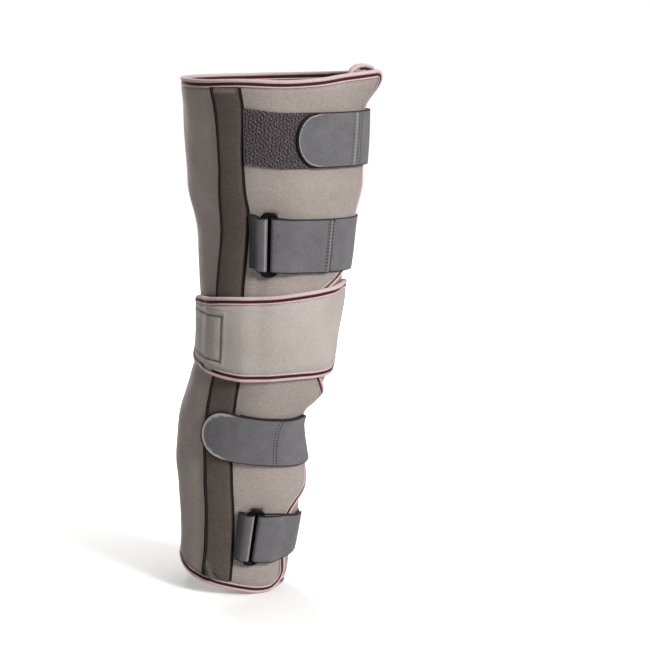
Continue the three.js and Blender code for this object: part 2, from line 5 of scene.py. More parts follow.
import bpy
import numpy as np
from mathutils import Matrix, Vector


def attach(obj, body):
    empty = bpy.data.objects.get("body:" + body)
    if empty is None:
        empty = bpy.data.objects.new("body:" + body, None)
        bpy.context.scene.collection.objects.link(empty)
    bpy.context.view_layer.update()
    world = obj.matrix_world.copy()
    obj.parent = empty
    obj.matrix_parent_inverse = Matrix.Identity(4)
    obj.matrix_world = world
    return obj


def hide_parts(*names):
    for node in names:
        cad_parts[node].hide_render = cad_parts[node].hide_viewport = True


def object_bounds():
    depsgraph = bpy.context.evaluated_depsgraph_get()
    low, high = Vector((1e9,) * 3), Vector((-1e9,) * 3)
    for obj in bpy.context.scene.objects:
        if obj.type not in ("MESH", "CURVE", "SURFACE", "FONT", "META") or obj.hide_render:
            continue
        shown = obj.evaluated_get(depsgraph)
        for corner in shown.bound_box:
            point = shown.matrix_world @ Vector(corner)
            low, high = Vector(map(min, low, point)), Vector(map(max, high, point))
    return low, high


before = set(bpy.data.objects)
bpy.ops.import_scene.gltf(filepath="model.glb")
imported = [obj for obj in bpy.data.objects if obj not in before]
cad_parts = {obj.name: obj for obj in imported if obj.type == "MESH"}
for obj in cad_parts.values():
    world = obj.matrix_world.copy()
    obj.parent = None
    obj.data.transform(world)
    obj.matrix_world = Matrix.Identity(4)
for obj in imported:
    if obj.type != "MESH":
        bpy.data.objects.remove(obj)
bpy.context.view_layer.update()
fullTurn = 2 * math.pi
print("stage: frame loaded")

# The hollow's form, the same as in the solids
hollowForm = {
    "thighLength": 237,
    "shinLength": 243,
    "kneeWidth": 124,
    "kneeDepth": 120,
    "strapPinch": 1.2,
    "dentDepth": 0.3,  # of each soft wave in the foam
    # level, sideways shift, set back, half widths outer and inner, half depths front and rear
    "sections": [
        (1.06, 0.046, 0.074, 1.405, 1.4, 1.38, 1.52),
        (0.79, 0.042, 0.054, 1.363, 1.34, 1.333, 1.45),
        (0.58, 0.045, 0.039, 1.29, 1.28, 1.267, 1.367),
        (0.42, 0.045, 0.027, 1.185, 1.175, 1.183, 1.25),
        (0.27, 0.03, 0.016, 1.14, 1.125, 1.1, 1.12),
        (0.07, -0.011, 0.003, 1.018, 1.09, 1.067, 1),
        (-0.1, -0.05, 0.005, 1, 1.045, 1.017, 0.97),
        (-0.18, -0.081, 0.012, 1.07, 0.935, 0.967, 0.985),
        (-0.23, -0.102, 0.019, 1.09, 0.8, 0.933, 1.02),
        (-0.28, -0.123, 0.027, 1.1, 0.745, 0.9, 1.05),
        (-0.35, -0.15, 0.039, 1.121, 0.785, 0.867, 1.1),
        (-0.51, -0.193, 0.066, 1.081, 0.93, 0.817, 1.133),
        (-0.69, -0.24, 0.093, 0.947, 0.985, 0.767, 1.033),
        (-0.86, -0.285, 0.119, 0.855, 0.945, 0.733, 0.9),
        (-1.06, -0.343, 0.15, 0.79, 0.88, 0.75, 0.86),
    ],
}


def mix(start, end, share):
    return start + (end - start) * share


def ease(value, low, high):
    share = np.clip((value - low) / (high - low), 0, 1)
    return share * share * (3 - 2 * share)


def curveThrough(rows, column, at):
    # a smooth curve through one column of a table, over its first column
    table = np.array(rows, float)
    table = table[np.argsort(table[:, 0])]
    x, y = table[:, 0], table[:, column]
    slope = np.diff(y) / np.diff(x)
    tangent = np.concatenate([slope[:1], (slope[:-1] + slope[1:]) / 2, slope[-1:]])
    at = np.asarray(at, float)
    i = np.clip(np.searchsorted(x, at) - 1, 0, len(x) - 2)
    span = x[i + 1] - x[i]
    t = np.clip((at - x[i]) / span, 0, 1)
    start = (1 + 2 * t) * (1 - t) ** 2 * y[i] + t * (1 - t) ** 2 * span * tangent[i]
    end = t * t * (3 - 2 * t) * y[i + 1] + t * t * (t - 1) * span * tangent[i + 1]
    return start + end


def lengthAt(z):
    return np.where(np.asarray(z) > 0, hollowForm["thighLength"], hollowForm["shinLength"])


def height(level):
    return level * (hollowForm["thighLength"] if level > 0 else hollowForm["shinLength"])


def onSections(column, z):
    return curveThrough(hollowForm["sections"], column, z / lengthAt(z))


def unit(vectors):
    return vectors / np.maximum(np.linalg.norm(vectors, axis=-1, keepdims=True), 1e-9)


def hollowCentre(z):
    across = onSections(1, z) * hollowForm["kneeWidth"]
    back = onSections(2, z) * lengthAt(z)
    return np.stack([across, back, z + 0 * z], -1)


# Soft waves in the foam, in all directions and of many lengths

waveSet = {"count": 12, "shortest": 34, "longest": 95, "share": 0.55}
waveSource = np.random.default_rng(7)
waveWays = unit(waveSource.normal(size=(waveSet["count"], 3)))
waveLengths = waveSource.uniform(waveSet["shortest"], waveSet["longest"], (waveSet["count"], 1))
waveWays = waveWays * (fullTurn / waveLengths)
wavePhases = waveSource.uniform(0, fullTurn, waveSet["count"])


def surface(angle, z, lift, dents=True):
    # the point at an angle and a height, lifted off the panel's outer face
    angle, z, lift = np.broadcast_arrays(*(np.asarray(value, float) for value in (angle, z, lift)))
    sine, cosine = np.sin(np.radians(angle)), np.cos(np.radians(angle))
    press = 0 * z
    for strap in straps.values():
        away = np.abs(z - height(strap["level"])) - strapSet["width"] / 2
        press = np.maximum(press, 1 - ease(away, 0, strapSet["width"] / 2))
    pinch = hollowForm["strapPinch"] * press
    wide = np.where(sine > 0, onSections(4, z), onSections(3, z)) * hollowForm["kneeWidth"] / 2 - pinch
    deep = np.where(cosine > 0, onSections(5, z), onSections(6, z)) * hollowForm["kneeDepth"] / 2 - pinch
    normal = unit(np.stack([sine / wide, -cosine / deep], -1))
    centre = hollowCentre(z)
    up = unit(hollowCentre(z + 1) - hollowCentre(z - 1))
    side = unit(np.array([1, 0, 0]) - up * up[..., :1])
    rear = np.cross(up, side)
    if dents:
        bare = centre + side * (wide * sine)[..., None] - rear * (deep * cosine)[..., None]
        waves = np.sin(bare @ waveWays.T + wavePhases).sum(-1)
        lift = lift + hollowForm["dentDepth"] * waves * waveSet["share"]
    across = wide * sine + lift * normal[..., 0]
    back = -deep * cosine + lift * normal[..., 1]
    return centre + side * across[..., None] + rear * back[..., None]


def degrees(distance, angle, z):
    # how many degrees a distance round the panel takes
    reach = surface(angle + 0.5, z, 0, False) - surface(angle - 0.5, z, 0, False)
    return distance / np.linalg.norm(reach, axis=-1)


# Making and finishing meshes


def pick(piece):
    bpy.ops.object.select_all(action="DESELECT")
    piece.select_set(True)
    bpy.context.view_layer.objects.active = piece


def clothGrid(name, columns, rows, place):
    # a grid primitive laid where place(s, t) says; its UV map is in millimetres along the cloth
    bpy.ops.object.select_all(action="DESELECT")
    bpy.ops.mesh.primitive_grid_add(x_subdivisions=columns, y_subdivisions=rows, size=1)
    piece = bpy.context.object
    piece.name = piece.data.name = name
    flat = np.empty(len(piece.data.vertices) * 3, np.float32)
    piece.data.vertices.foreach_get("co", flat)
    flat = flat.reshape(-1, 3).astype(float)
    laid = place(flat[:, 0] + 0.5, flat[:, 1] + 0.5)
    points = laid.pop("points") / 1000
    piece.data.vertices.foreach_set("co", points.astype(np.float32).ravel())
    corner = np.empty(len(piece.data.loops), np.int32)
    piece.data.loops.foreach_get("vertex_index", corner)
    pairs = np.stack([laid.pop("along")[corner], laid.pop("across")[corner]], -1)
    piece.data.uv_layers.active.data.foreach_set("uv", pairs.astype(np.float32).ravel())
    for key, values in laid.items():
        attribute = piece.data.attributes.new(key, "FLOAT", "POINT")
        attribute.data.foreach_set("value", np.asarray(values, np.float32))
    piece.data.update()
    return piece


def finishWith(piece, kind, **settings):
    pick(piece)
    modifier = piece.modifiers.new(kind, kind)
    for key, value in settings.items():
        setattr(modifier, key, value)
    bpy.ops.object.modifier_apply(modifier=modifier.name)


def mergeSeam(piece, reach):
    pick(piece)
    bpy.ops.object.mode_set(mode="EDIT")
    bpy.ops.mesh.select_all(action="SELECT")
    bpy.ops.mesh.remove_doubles(threshold=reach / 1000)
    bpy.ops.object.mode_set(mode="OBJECT")


def softShade(piece, angle=50):
    pick(piece)
    bpy.ops.object.shade_smooth_by_angle(angle=math.radians(angle))


def wallGroup(piece, shares):
    # a vertex group that thins the wall where the tape presses on it
    group = piece.vertex_groups.new(name="wall")
    for i, share in enumerate(shares):
        group.add([i], float(share), "REPLACE")
    return group.name


def cutSize(face, count=80):
    # a sheet's longest row, middle column and area, as it was cut flat, in metres
    s, t = np.meshgrid(np.linspace(0, 1, count), np.linspace(0, 1, count), indexing="ij")
    points = face(s.ravel(), t.ravel())[0].reshape(count, count, 3) / 1000
    rowSteps, columnSteps = np.diff(points, axis=0), np.diff(points, axis=1)
    area = np.linalg.norm(np.cross(rowSteps[:, :-1], columnSteps[:-1]), axis=-1).sum()
    width = np.linalg.norm(rowSteps, axis=-1).sum(0).max()
    length = np.linalg.norm(columnSteps, axis=-1).sum(1)[count // 2]
    return (float(width), float(length)), float(area)


def handOver(piece, material, slot, *nodes):
    piece.data.materials.clear()
    piece.data.materials.append(material)
    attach(piece, "root")
    if nodes:
        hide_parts(*nodes)


# Materials


def linear(code):
    # an sRGB hex value as the linear colour that a shader needs
    parts = [int(code[i : i + 2], 16) / 255 for i in (1, 3, 5)]
    return [*(p / 12.92 if p <= 0.04045 else ((p + 0.055) / 1.055) ** 2.4 for p in parts), 1]


def newMaterial(name, **settings):
    material = bpy.data.materials.new(name)
    material.use_nodes = True
    shader = material.node_tree.nodes["Principled BSDF"]
    for key, value in settings.items():
        shader.inputs[key].default_value = value
    return material, material.node_tree, shader


def addNode(tree, kind, settings):
    # a key names or counts an input, or is a setting of the node; a socket is linked, and stops fill a ramp
    node = tree.nodes.new("ShaderNode" + kind)
    for key, value in settings.items():
        if key == "stops":
            while len(node.color_ramp.elements) < len(value):
                node.color_ramp.elements.new(0.5)
            for element, (place, code) in zip(node.color_ramp.elements, value):
                element.position, element.color = place, linear(code)
        elif isinstance(value, bpy.types.NodeSocket):
            tree.links.new(value, node.inputs[key])
        elif isinstance(key, int) or key in node.inputs.keys():
            node.inputs[key].default_value = value
        else:
            setattr(node, key, value)
    return node


def ribbing(tree, distance, pitch):
    # a wave across the cloth, with one rib for each pitch in millimetres
    turns = addNode(tree, "Math", {"operation": "MULTIPLY", 0: distance, 1: fullTurn / pitch}).outputs[0]
    return addNode(tree, "Math", {"operation": "SINE", 0: turns}).outputs[0]


def weighed(tree, *parts):
    # the sum of several patterns, each by its share
    total = 0.0
    for source, share in parts:
        settings = {"operation": "MULTIPLY_ADD", 0: source, 1: share, 2: total}
        total = addNode(tree, "Math", settings).outputs[0]
    return total


def paintedWhere(tree, colour, name, code, pattern=1.0):
    # a flat colour over the cloth where the piece's attribute says, broken up by a pattern
    where = addNode(tree, "Attribute", {"attribute_name": name}).outputs["Fac"]
    share = addNode(tree, "Math", {"operation": "MULTIPLY", 0: where, 1: pattern}).outputs[0]
    return addNode(tree, "Mix", {"data_type": "RGBA", 0: share, 6: colour, 7: linear(code)}).outputs[2]


def coverWith(tree, shader, colour, relief, nap, strength):
    # a colour, and a relief as deep as the nap in millimetres
    raised = addNode(tree, "Bump", {"Strength": strength, "Distance": nap / 1000, "Height": relief})
    tree.links.new(raised.outputs["Normal"], shader.inputs["Normal"])
    tree.links.new(colour, shader.inputs["Base Color"])


# every cloth is matt, with a faint sheen of fibre ends
clothLooks = {"Roughness": 0.9, "Specular IOR Level": 0.15, "Sheen Weight": 0.12, "Sheen Roughness": 0.5}
# a noise's scale is a thousand over the size of its lumps in millimetres
brushedCloth = {
    "shade": "#120e0d",
    "thread": "#7d726b",
    "fibre": {"Detail": 4, "Roughness": 0.7},
    "blotch": {"Scale": 1000 / 9, "Detail": 2, "Roughness": 0.5},
    "broad": {"Scale": 1000 / 48, "Detail": 2, "Roughness": 0.5},
    "stitchPitch": 1.5,
    "nap": 0.35,
    # brushed nylon laminated to foam: matt, a little sheen at grazing angles, fine fibres, no clear weave
    "panel": {"dark": "#7a706c", "light": "#a89e98", "fibre": 1.1},
    "sleeve": {"dark": "#39312d", "light": "#655b55", "fibre": 1.1},
    "band": {"dark": "#8f8782", "light": "#b5ada7", "fibre": 1.0},
}


def brushedNylon(name, look):
    material, tree, shader = newMaterial(name, **clothLooks)
    cloth = addNode(tree, "TexCoord", {})
    place = cloth.outputs["Object"]
    fibreLook = {"Scale": 1000 / look["fibre"], **brushedCloth["fibre"]}
    fibre = addNode(tree, "TexNoise", {"Vector": place, **fibreLook}).outputs["Fac"]
    blotch = addNode(tree, "TexNoise", {"Vector": place, **brushedCloth["blotch"]}).outputs["Fac"]
    broad = addNode(tree, "TexNoise", {"Vector": place, **brushedCloth["broad"]}).outputs["Fac"]
    tone = weighed(tree, (fibre, 0.75), (blotch, 0.1), (broad, 0.15))
    stops = [(0.3, look["dark"]), (0.7, look["light"])]
    colour = addNode(tree, "ValToRGB", {"Fac": tone, "stops": stops}).outputs["Color"]
    # painted shade where the edge attribute says: under the rings, beside the sleeve, in the groove round
    # the band's patch
    colour = paintedWhere(tree, colour, "edge", brushedCloth["shade"])
    # the bar tack's threads
    along = addNode(tree, "SeparateXYZ", {"Vector": cloth.outputs["UV"]}).outputs["X"]
    threads = weighed(tree, (ribbing(tree, along, brushedCloth["stitchPitch"]), 0.4), (1.0, 0.45))
    colour = paintedWhere(tree, colour, "bar", brushedCloth["thread"], threads)
    stitch = addNode(tree, "Attribute", {"attribute_name": "stitch"}).outputs["Fac"]
    relief = weighed(tree, (fibre, 1.0), (stitch, -1.6))
    coverWith(tree, shader, colour, relief, brushedCloth["nap"], strength=0.8)
    return material


def tapeMaterial():
    # knitted binding tape, pale pink with a dark red centre line, soft and matt
    material, tree, shader = newMaterial("knitted_binding_tape", **clothLooks)
    cloth = addNode(tree, "TexCoord", {})
    place = cloth.outputs["Object"]
    fibre = addNode(tree, "TexNoise", {"Vector": place, **tapeSet["fibre"]}).outputs["Fac"]
    pale = addNode(tree, "ValToRGB", {"Fac": fibre, "stops": tapeSet["pale"]}).outputs["Color"]
    red = addNode(tree, "ValToRGB", {"Fac": fibre, "stops": tapeSet["red"]}).outputs["Color"]
    split = addNode(tree, "SeparateXYZ", {"Vector": cloth.outputs["UV"]})
    along, across = split.outputs["X"], split.outputs["Y"]
    # 1 on the line, falling to 0 over its soft sides
    fromEdge = addNode(tree, "Math", {"operation": "ABSOLUTE", 0: across}).outputs[0]
    offset = {"operation": "SUBTRACT", 0: fromEdge, 1: tapeSet["lineMiddle"]}
    fromLine = addNode(tree, "Math", offset).outputs[0]
    fromLine = addNode(tree, "Math", {"operation": "ABSOLUTE", 0: fromLine}).outputs[0]
    full, gone = (tapeSet["lineHalf"] + way * tapeSet["lineSoft"] for way in (-1, 1))
    limits = {"From Min": full, "From Max": gone, "To Min": 1.0, "To Max": 0.0}
    line = addNode(tree, "MapRange", {"Value": fromLine, **limits}).outputs[0]
    colour = addNode(tree, "Mix", {"data_type": "RGBA", 0: line, 6: pale, 7: red}).outputs[2]
    relief = weighed(tree, (ribbing(tree, along, tapeSet["ribPitch"]), 0.35), (fibre, 1.0))
    coverWith(tree, shader, colour, relief, tapeSet["nap"], strength=0.7)
    return material


def webbingMaterial():
    # brushed polyamide strap laminate: cool grey, very fine cross ribs, a paler cut edge
    material, tree, shader = newMaterial("brushed_polyamide_strap", **clothLooks)
    cloth = addNode(tree, "TexCoord", {})
    place = cloth.outputs["Object"]
    split = addNode(tree, "SeparateXYZ", {"Vector": cloth.outputs["UV"]})
    along, across = split.outputs["X"], split.outputs["Y"]
    ribs, rows = ribbing(tree, along, strapSet["ribPitch"]), ribbing(tree, across, strapSet["rowPitch"])
    weave = addNode(tree, "Math", {"operation": "MULTIPLY", 0: ribs, 1: rows}).outputs[0]
    fibre = addNode(tree, "TexNoise", {"Vector": place, **strapSet["fibre"]}).outputs["Fac"]
    blotch = addNode(tree, "TexNoise", {"Vector": place, **strapSet["blotch"]}).outputs["Fac"]
    tone = weighed(tree, (fibre, 0.8), (blotch, 0.2), (weave, 0.04))
    colour = addNode(tree, "ValToRGB", {"Fac": tone, "stops": strapSet["grey"]}).outputs["Color"]
    # the laminate's pale cut edge and the paler strip between sewn lines; on the tabs, a painted highlight
    # over the ring
    colour = paintedWhere(tree, colour, "rim", strapSet["edge"])
    # painted shadow along the edges and round the folded tips, and painted shade on the tabs' folds
    colour = paintedWhere(tree, colour, "cut", strapSet["cut"])
    dashes = weighed(tree, (ribbing(tree, across, strapSet["stitchPitch"]), 0.3), (1.0, 0.7))
    colour = paintedWhere(tree, colour, "seam", strapSet["thread"], dashes)
    seam = addNode(tree, "Attribute", {"attribute_name": "seam"}).outputs["Fac"]
    relief = weighed(tree, (weave, 0.3), (fibre, 1.0), (seam, -1.2))
    coverWith(tree, shader, colour, relief, strapSet["nap"], strength=0.7)
    return material


def pileMaterial():
    # hook-and-loop pile: tangled loops about 2 mm across, dark between them
    material, tree, shader = newMaterial("looped_polyamide_pile", **clothLooks)
    place = addNode(tree, "TexCoord", {}).outputs["Object"]
    bend = addNode(tree, "TexNoise", {"Vector": place, "Scale": 1000 / pileSet["bend"], "Detail": 2})
    reach = [pileSet["bend"] / 1000] * 3
    tangle = {"operation": "MULTIPLY_ADD", 0: bend.outputs["Color"], 1: reach, 2: place}
    moved = addNode(tree, "VectorMath", tangle).outputs[0]
    loopLook = {"Vector": moved, "Scale": 1000 / pileSet["loop"], "feature": "DISTANCE_TO_EDGE"}
    loops = addNode(tree, "TexVoronoi", loopLook).outputs["Distance"]
    fibre = addNode(tree, "TexNoise", {"Vector": place, **pileSet["fibre"]}).outputs["Fac"]
    stands = addNode(tree, "Attribute", {"attribute_name": "tall"}).outputs["Fac"]
    tone = weighed(tree, (loops, 0.7), (fibre, 0.45), (stands, 0.35))
    colour = addNode(tree, "ValToRGB", {"Fac": tone, "stops": pileSet["grey"]}).outputs["Color"]
    colour = paintedWhere(tree, colour, "edge", pileSet["shade"])
    coverWith(tree, shader, colour, tone, pileSet["nap"], strength=0.9)
    return material


def ringMaterial():
    # injection-moulded acetal: dark brown black, satin, faint flow marks
    looks = {"Roughness": 0.5, "IOR": 1.48, "Specular IOR Level": 0.12}
    material, tree, shader = newMaterial("moulded_acetal", **looks)
    place = addNode(tree, "TexCoord", {}).outputs["Object"]
    flow = addNode(tree, "TexNoise", {"Vector": place, **ringSet["flow"]}).outputs["Fac"]
    colour = addNode(tree, "ValToRGB", {"Fac": flow, "stops": ringSet["brown"]}).outputs["Color"]
    grain = addNode(tree, "TexNoise", {"Vector": place, **ringSet["grain"]}).outputs["Fac"]
    coverWith(tree, shader, colour, grain, ringSet["nap"], strength=0.5)
    return material


# Camera first: the photograph's angle, with the image taken as 650 by 650

cameraSet = {
    "aim": (51, 0, 12),
    "elevation": 12,
    "distance": 2200,
    "focalPixels": 2366,
    "imagePixels": 650,
    "sensor": 36,
}


def placeCamera(look):
    tilt = math.radians(look["elevation"])
    back = Vector((0, -math.cos(tilt), math.sin(tilt)))
    bpy.ops.object.camera_add()
    camera = bpy.context.object
    camera.name = "photo_camera"
    camera.location = (Vector(look["aim"]) + back * look["distance"]) / 1000
    camera.rotation_euler = (-back).to_track_quat("-Z", "Y").to_euler()
    camera.data.sensor_width = look["sensor"]
    camera.data.lens = look["focalPixels"] / look["imagePixels"] * look["sensor"]
    bpy.context.scene.camera = camera


placeCamera(cameraSet)
print("stage: camera")

# Settings that several pieces share

strapSet = {
    "width": 49.5,
    "wall": 1.6,
    "bevel": 0.4,
    "gap": 0.7,
    "foldGap": 0.5,
    "tipLength": 18,
    "tipCorner": 5,
    "tipSteps": 28,
    "tipBlunt": 0.997,  # the arc stops a little short of a point
    "leadAngles": (-24, 8),  # where a strap's lead falls to nothing
    "dipAngles": (15, 85),  # where a strap's dip comes in
    "settleAngles": (4, 32),  # past the outer flap's edge
    "ringRun": 9,  # clear of the ring before the fold lies down
    "tabRun": 3,
    "lieDown": 14,  # degrees for that
    "climb": 12,  # degrees for the climb on to the sleeve
    "step": 2.2,  # degrees between stations
    "fineStep": 1.2,
    "ribPitch": 1.4,
    "rowPitch": 1.8,
    "stitchPitch": 3.2,
    "fibre": {"Scale": 1000 / 0.8, "Detail": 3, "Roughness": 0.7},
    "blotch": {"Scale": 1000 / 14, "Detail": 2, "Roughness": 0.5},
    "nap": 0.25,
    "grey": [(0.32, "#4c4b4d"), (0.7, "#737276")],
    "edge": "#aca49f",
    # the dark laid along the straps' cut edges and round their tips: painted shadow
    "cut": "#161314",
    "thread": "#2c2a2c",
}
# root, tip and anchor are angles as in the solids; None is beside the stay sleeve
strapColumns = ("level", "lead", "dip", "ring", "side", "root", "tip", "anchor")
strapRows = {
    "1": (0.79, 0.09, 0, 122, -1, None, 14.5, 144),
    "2": (0.392, 0.09, 0, -3, 1, 150, 46, None),
    "3": (-0.324, 0, 0.12, 135, -1, None, -40, 160),
    "4": (-0.733, 0, 0.15, 14, 1, 150, 104, None),
}
straps = {number: dict(zip(strapColumns, row)) for number, row in strapRows.items()}
# how much an edge draws in round the inner side, and the angles where that starts, is full, falls and ends
straps["3"]["upperDraw"] = (0.42, 66, 96, 135, 148)
straps["4"]["upperDraw"] = (0.3, 70, 96, 118, 135)
straps["4"]["lowerDraw"] = (0.5, 30, 75, 100, 118)
# angles of the sewn lines across each strap, and the straps whose tip is cut square
strapSeams = {"1": [55.5, 61, 64.5], "2": [40.2, 43.4], "3": [26, 28.6], "4": []}
squareTips = ["2"]
# for each rounded tip, how far in the painted shadow along its cut edge and its pale rim reach
tipLooks = {"1": (1.6, 2.1), "3": (1.1, 2.9), "4": (1, 2.4)}
# along the straps: the reach of the painted shadow along the edge, its blur, the pale rim's blur, how far
# behind a tip it fades, a sewn line's half width and fade, and the paleness between two sewn lines
cutEdge = {
    "reach": 0.8,
    "shadowBlur": 0.3,
    "paleBlur": 0.4,
    "fade": 8,
    "seam": (0.5, 1.3),
    "betweenSeams": 0.22,
}
# a tab's sewn line and the painted shadow along its edges, how much it still rises from the ring to the
# sewn end, the painted shade on its fold along the way and the painted highlight on the crest over the ring
tabLooks = {
    "rises": (0.8, 0.3, 0),
    "seam": 0.6,
    "edge": (0.5, 1.1),
    "shades": (0.1, 0.3, 0.6, 0.75, 0.85),
    "crest": slice(-8, -6),
    "crestHighlight": 0.38,
}
ringSet = {
    "width": 17,
    "height": 60,
    "wall": 2.5,
    "bar": 4,
    "corner": 7,
    "aroundSteps": 48,
    "barSteps": 16,
    "turnInset": 0.15,  # how far the webbing's turn sits in the bar, as a share of the wall
    "turnSteps": 15,
    "seat": 1.2,  # how far a ring stands off for the panel's roundness, over what a circle needs
    "flow": {"Scale": 1000 / 8, "Detail": 2, "Roughness": 0.5},
    "grain": {"Scale": 1000 / 0.7, "Detail": 2, "Roughness": 0.5},
    "nap": 0.05,
    "brown": [(0.3, "#070505"), (0.7, "#100c0a")],
}
seamGap = 0.45

# Foam panel

panelSet = {
    "wall": 4.5,
    "overlapGap": 1,
    "cornerRadius": 22,
    "flapCorner": 7,  # radius of the outer flap's top corner
    "flareReach": 16,
    "flareRise": 8,
    "outerFlare": (400, 440),
    "innerFlare": (40, 86, 95, 165, 0.55),
    "recess": 1.3,  # how far the tape presses the margin in
    "lapStart": 150,
    "lapEnd": 215,
    "columns": 290,
    "rows": 150,
    "crowd": (0.3, 0.6),  # how much columns and rows crowd towards the edges
    "margin": (6, 9),  # from the edge, where the pressed margin ends
    "stitches": (9.2, 0.5, 1.6, 0.5),  # from the edge, half width, where they fade out, depth
    "perDegree": 1.2,  # millimetres of cloth for a degree, on its UV map
    # sweep, rise of the top rim, rise of the bottom rim
    "rims": [
        (40, 0.085, 0.02),
        (65, 0.08, 0.02),
        (95, 0.048, 0.02),
        (180, 0.02, 0.05),
        (275, 0.012, 0.07),
        (310, 0.008, 0.047),
        (340, 0.014, 0.039),
        (368, 0.011, 0.032),
        (388, 0.019, 0.024),
        (410, 0.036, 0.021),
        (446, 0.059, 0.03),
    ],
    # level, angle of the inner flap's edge, angle of the outer flap's edge
    "flapEdges": [
        (1.06, 54, 74),
        (0.9, 52, 81),
        (0.79, 50, 86),
        (0.5, 44, 86),
        (0.3, 34, 68),
        (0.22, 28, 41),
        (0.05, 22, 31),
        (-0.09, 26, 58),
        (-0.16, 32, 77),
        (-0.3, 38, 85),
        (-0.43, 38, 82),
        (-0.5, 37, 84),
        (-0.56, 36, 79),
        (-0.605, 35, 62),
        (-0.65, 34, 52),
        (-0.8, 34, 53),
        (-0.9, 36, 59),
        (-1.06, 38, 60),
    ],
    # from angle and height to angle and height, half width, rise
    "creases": [
        (-12, 66, -17, 46, 3.4, 1.8),
        (-6, 66, -12, 44, 3.6, -2.2),
        (60, 150, 20, 143, 9, 0.5),
        (-70, 150, -58, 60, 10, -0.5),
        (-42, 190, -44, 120, 5, -0.5),
        (10, 24, 40, 30, 7, 0.5),
    ],
    "ringShade": (5, 7, 27, 31),  # half width and half height of the dark under a ring, and where they end
}


def strapHeight(strap, angle):
    lead = strap["lead"] * (1 - ease(angle, *strapSet["leadAngles"]))
    dip = strap["dip"] * ease(angle, *strapSet["dipAngles"])
    return height(strap["level"]) + (lead - dip) * strapSet["width"]


def innerSet(sweep):
    under = panelSet["wall"] + panelSet["overlapGap"]
    return under * (1 - ease(sweep, panelSet["lapStart"], panelSet["lapEnd"]))


def settle(angle, z):
    # past the outer flap's edge a strap comes down to the inner layer
    edge = curveThrough(panelSet["flapEdges"], 2, z / lengthAt(z))
    start, end = strapSet["settleAngles"]
    return -innerSet(angle) * ease(angle, edge + start, edge + end)


def rimHeights(sweep):
    low = -hollowForm["shinLength"] * (1 - curveThrough(panelSet["rims"], 2, sweep))
    high = hollowForm["thighLength"] * (1 + curveThrough(panelSet["rims"], 1, sweep))
    return low, high


def cornerCut(depth, radius):
    short = np.maximum(radius - depth, 0)
    return radius - np.sqrt(np.maximum(radius**2 - short**2, 0))


def flare(sweep, z):
    start = height(straps["1"]["level"]) + strapSet["width"] / 2
    above = ease(z, start, hollowForm["thighLength"] + panelSet["flareRise"])
    rise, full, fall, level, share = panelSet["innerFlare"]
    inner = share * ease(sweep, rise, full) * (1 - ease(sweep, fall, level))
    reach = np.where(sweep > 360, ease(sweep, *panelSet["outerFlare"]), inner)
    return panelSet["flareReach"] * above * reach


creasePerDegree = 1.15  # roughly how many millimetres round the hollow a degree is
creaseEnds = (0.08, 0.92)  # past these shares of its length a crease keeps its height


def creaseLift(creases, angle, z):
    rise = 0 * z
    for fromAngle, fromHeight, toAngle, toHeight, half, tall in creases:
        start = np.array([fromAngle * creasePerDegree, fromHeight])
        way = np.array([toAngle * creasePerDegree, toHeight]) - start
        place = np.stack([angle * creasePerDegree, z], -1) - start
        share = np.clip(place @ way / (way @ way), 0, 1)
        away = np.linalg.norm(place - share[..., None] * way, axis=-1)
        rise = rise + tall * np.exp(-((away / half) ** 2)) * np.sin(np.pi * np.clip(share, *creaseEnds))
    return rise


def panelSpan(t):
    # angles where a row of the panel starts and ends, its corners rounded
    ends = []
    for column, turn, way in ((1, 0, 1), (2, 360, -1)):
        edge = turn + curveThrough(panelSet["flapEdges"], column, 1)
        low, high = rimHeights(edge)
        z = mix(low, high, t)
        angle = curveThrough(panelSet["flapEdges"], column, z / lengthAt(z))
        radius = np.where((way < 0) & (z > 0), panelSet["flapCorner"], panelSet["cornerRadius"])
        cut = cornerCut(np.minimum(high - z, z - low), radius)
        ends.append(turn + angle + way * degrees(cut, angle, z))
    return ends


def panelFace(s, t, drop=0):
    start, end = panelSpan(t)
    sweep = mix(start, end, s)
    low, high = rimHeights(sweep)
    z = mix(low, high, t)
    lift = flare(sweep, z) - innerSet(sweep) - drop
    creases = creaseLift(panelSet["creases"], sweep - 360, z)
    lift = lift + np.where(sweep > panelSet["lapEnd"], creases, 0)
    side = np.minimum(sweep - start, end - sweep) / degrees(1, sweep, z)
    edge = np.minimum(np.minimum(high - z, z - low), side)
    return surface(sweep, z, lift), edge, sweep, z


def ringShade(angle, z):
    # little light comes through a ring to the cloth under it
    wide, widest, tall, tallest = panelSet["ringShade"]
    shade = 0 * z
    for number in ("2", "4"):
        strap = straps[number]
        level = strapHeight(strap, strap["ring"])
        beside = np.abs(angle - strap["ring"]) / degrees(1, strap["ring"], level)
        spot = (1 - ease(beside, wide, widest)) * (1 - ease(np.abs(z - level), tall, tallest))
        shade = np.maximum(shade, spot)
    return shade


def crowded(share, amount):
    return mix(share, 0.5 - 0.5 * np.cos(np.pi * share), amount)


def stitchRow(edge, look):
    away, half, fade, depth = look
    return depth - depth * ease(np.abs(edge - away), half, fade)


def placePanel(s, t):
    s, t = (crowded(share, amount) for share, amount in zip((s, t), panelSet["crowd"]))
    _, edge, sweep, z = panelFace(s, t)
    press = 1 - ease(edge, *panelSet["margin"])
    return {
        "points": panelFace(s, t, panelSet["recess"] * press)[0],
        "along": sweep * panelSet["perDegree"],
        "across": z,
        "thin": 1 - 2 * panelSet["recess"] * press / panelSet["wall"],
        "stitch": stitchRow(edge, panelSet["stitches"]),
        "edge": ringShade(sweep - 360, z),
    }


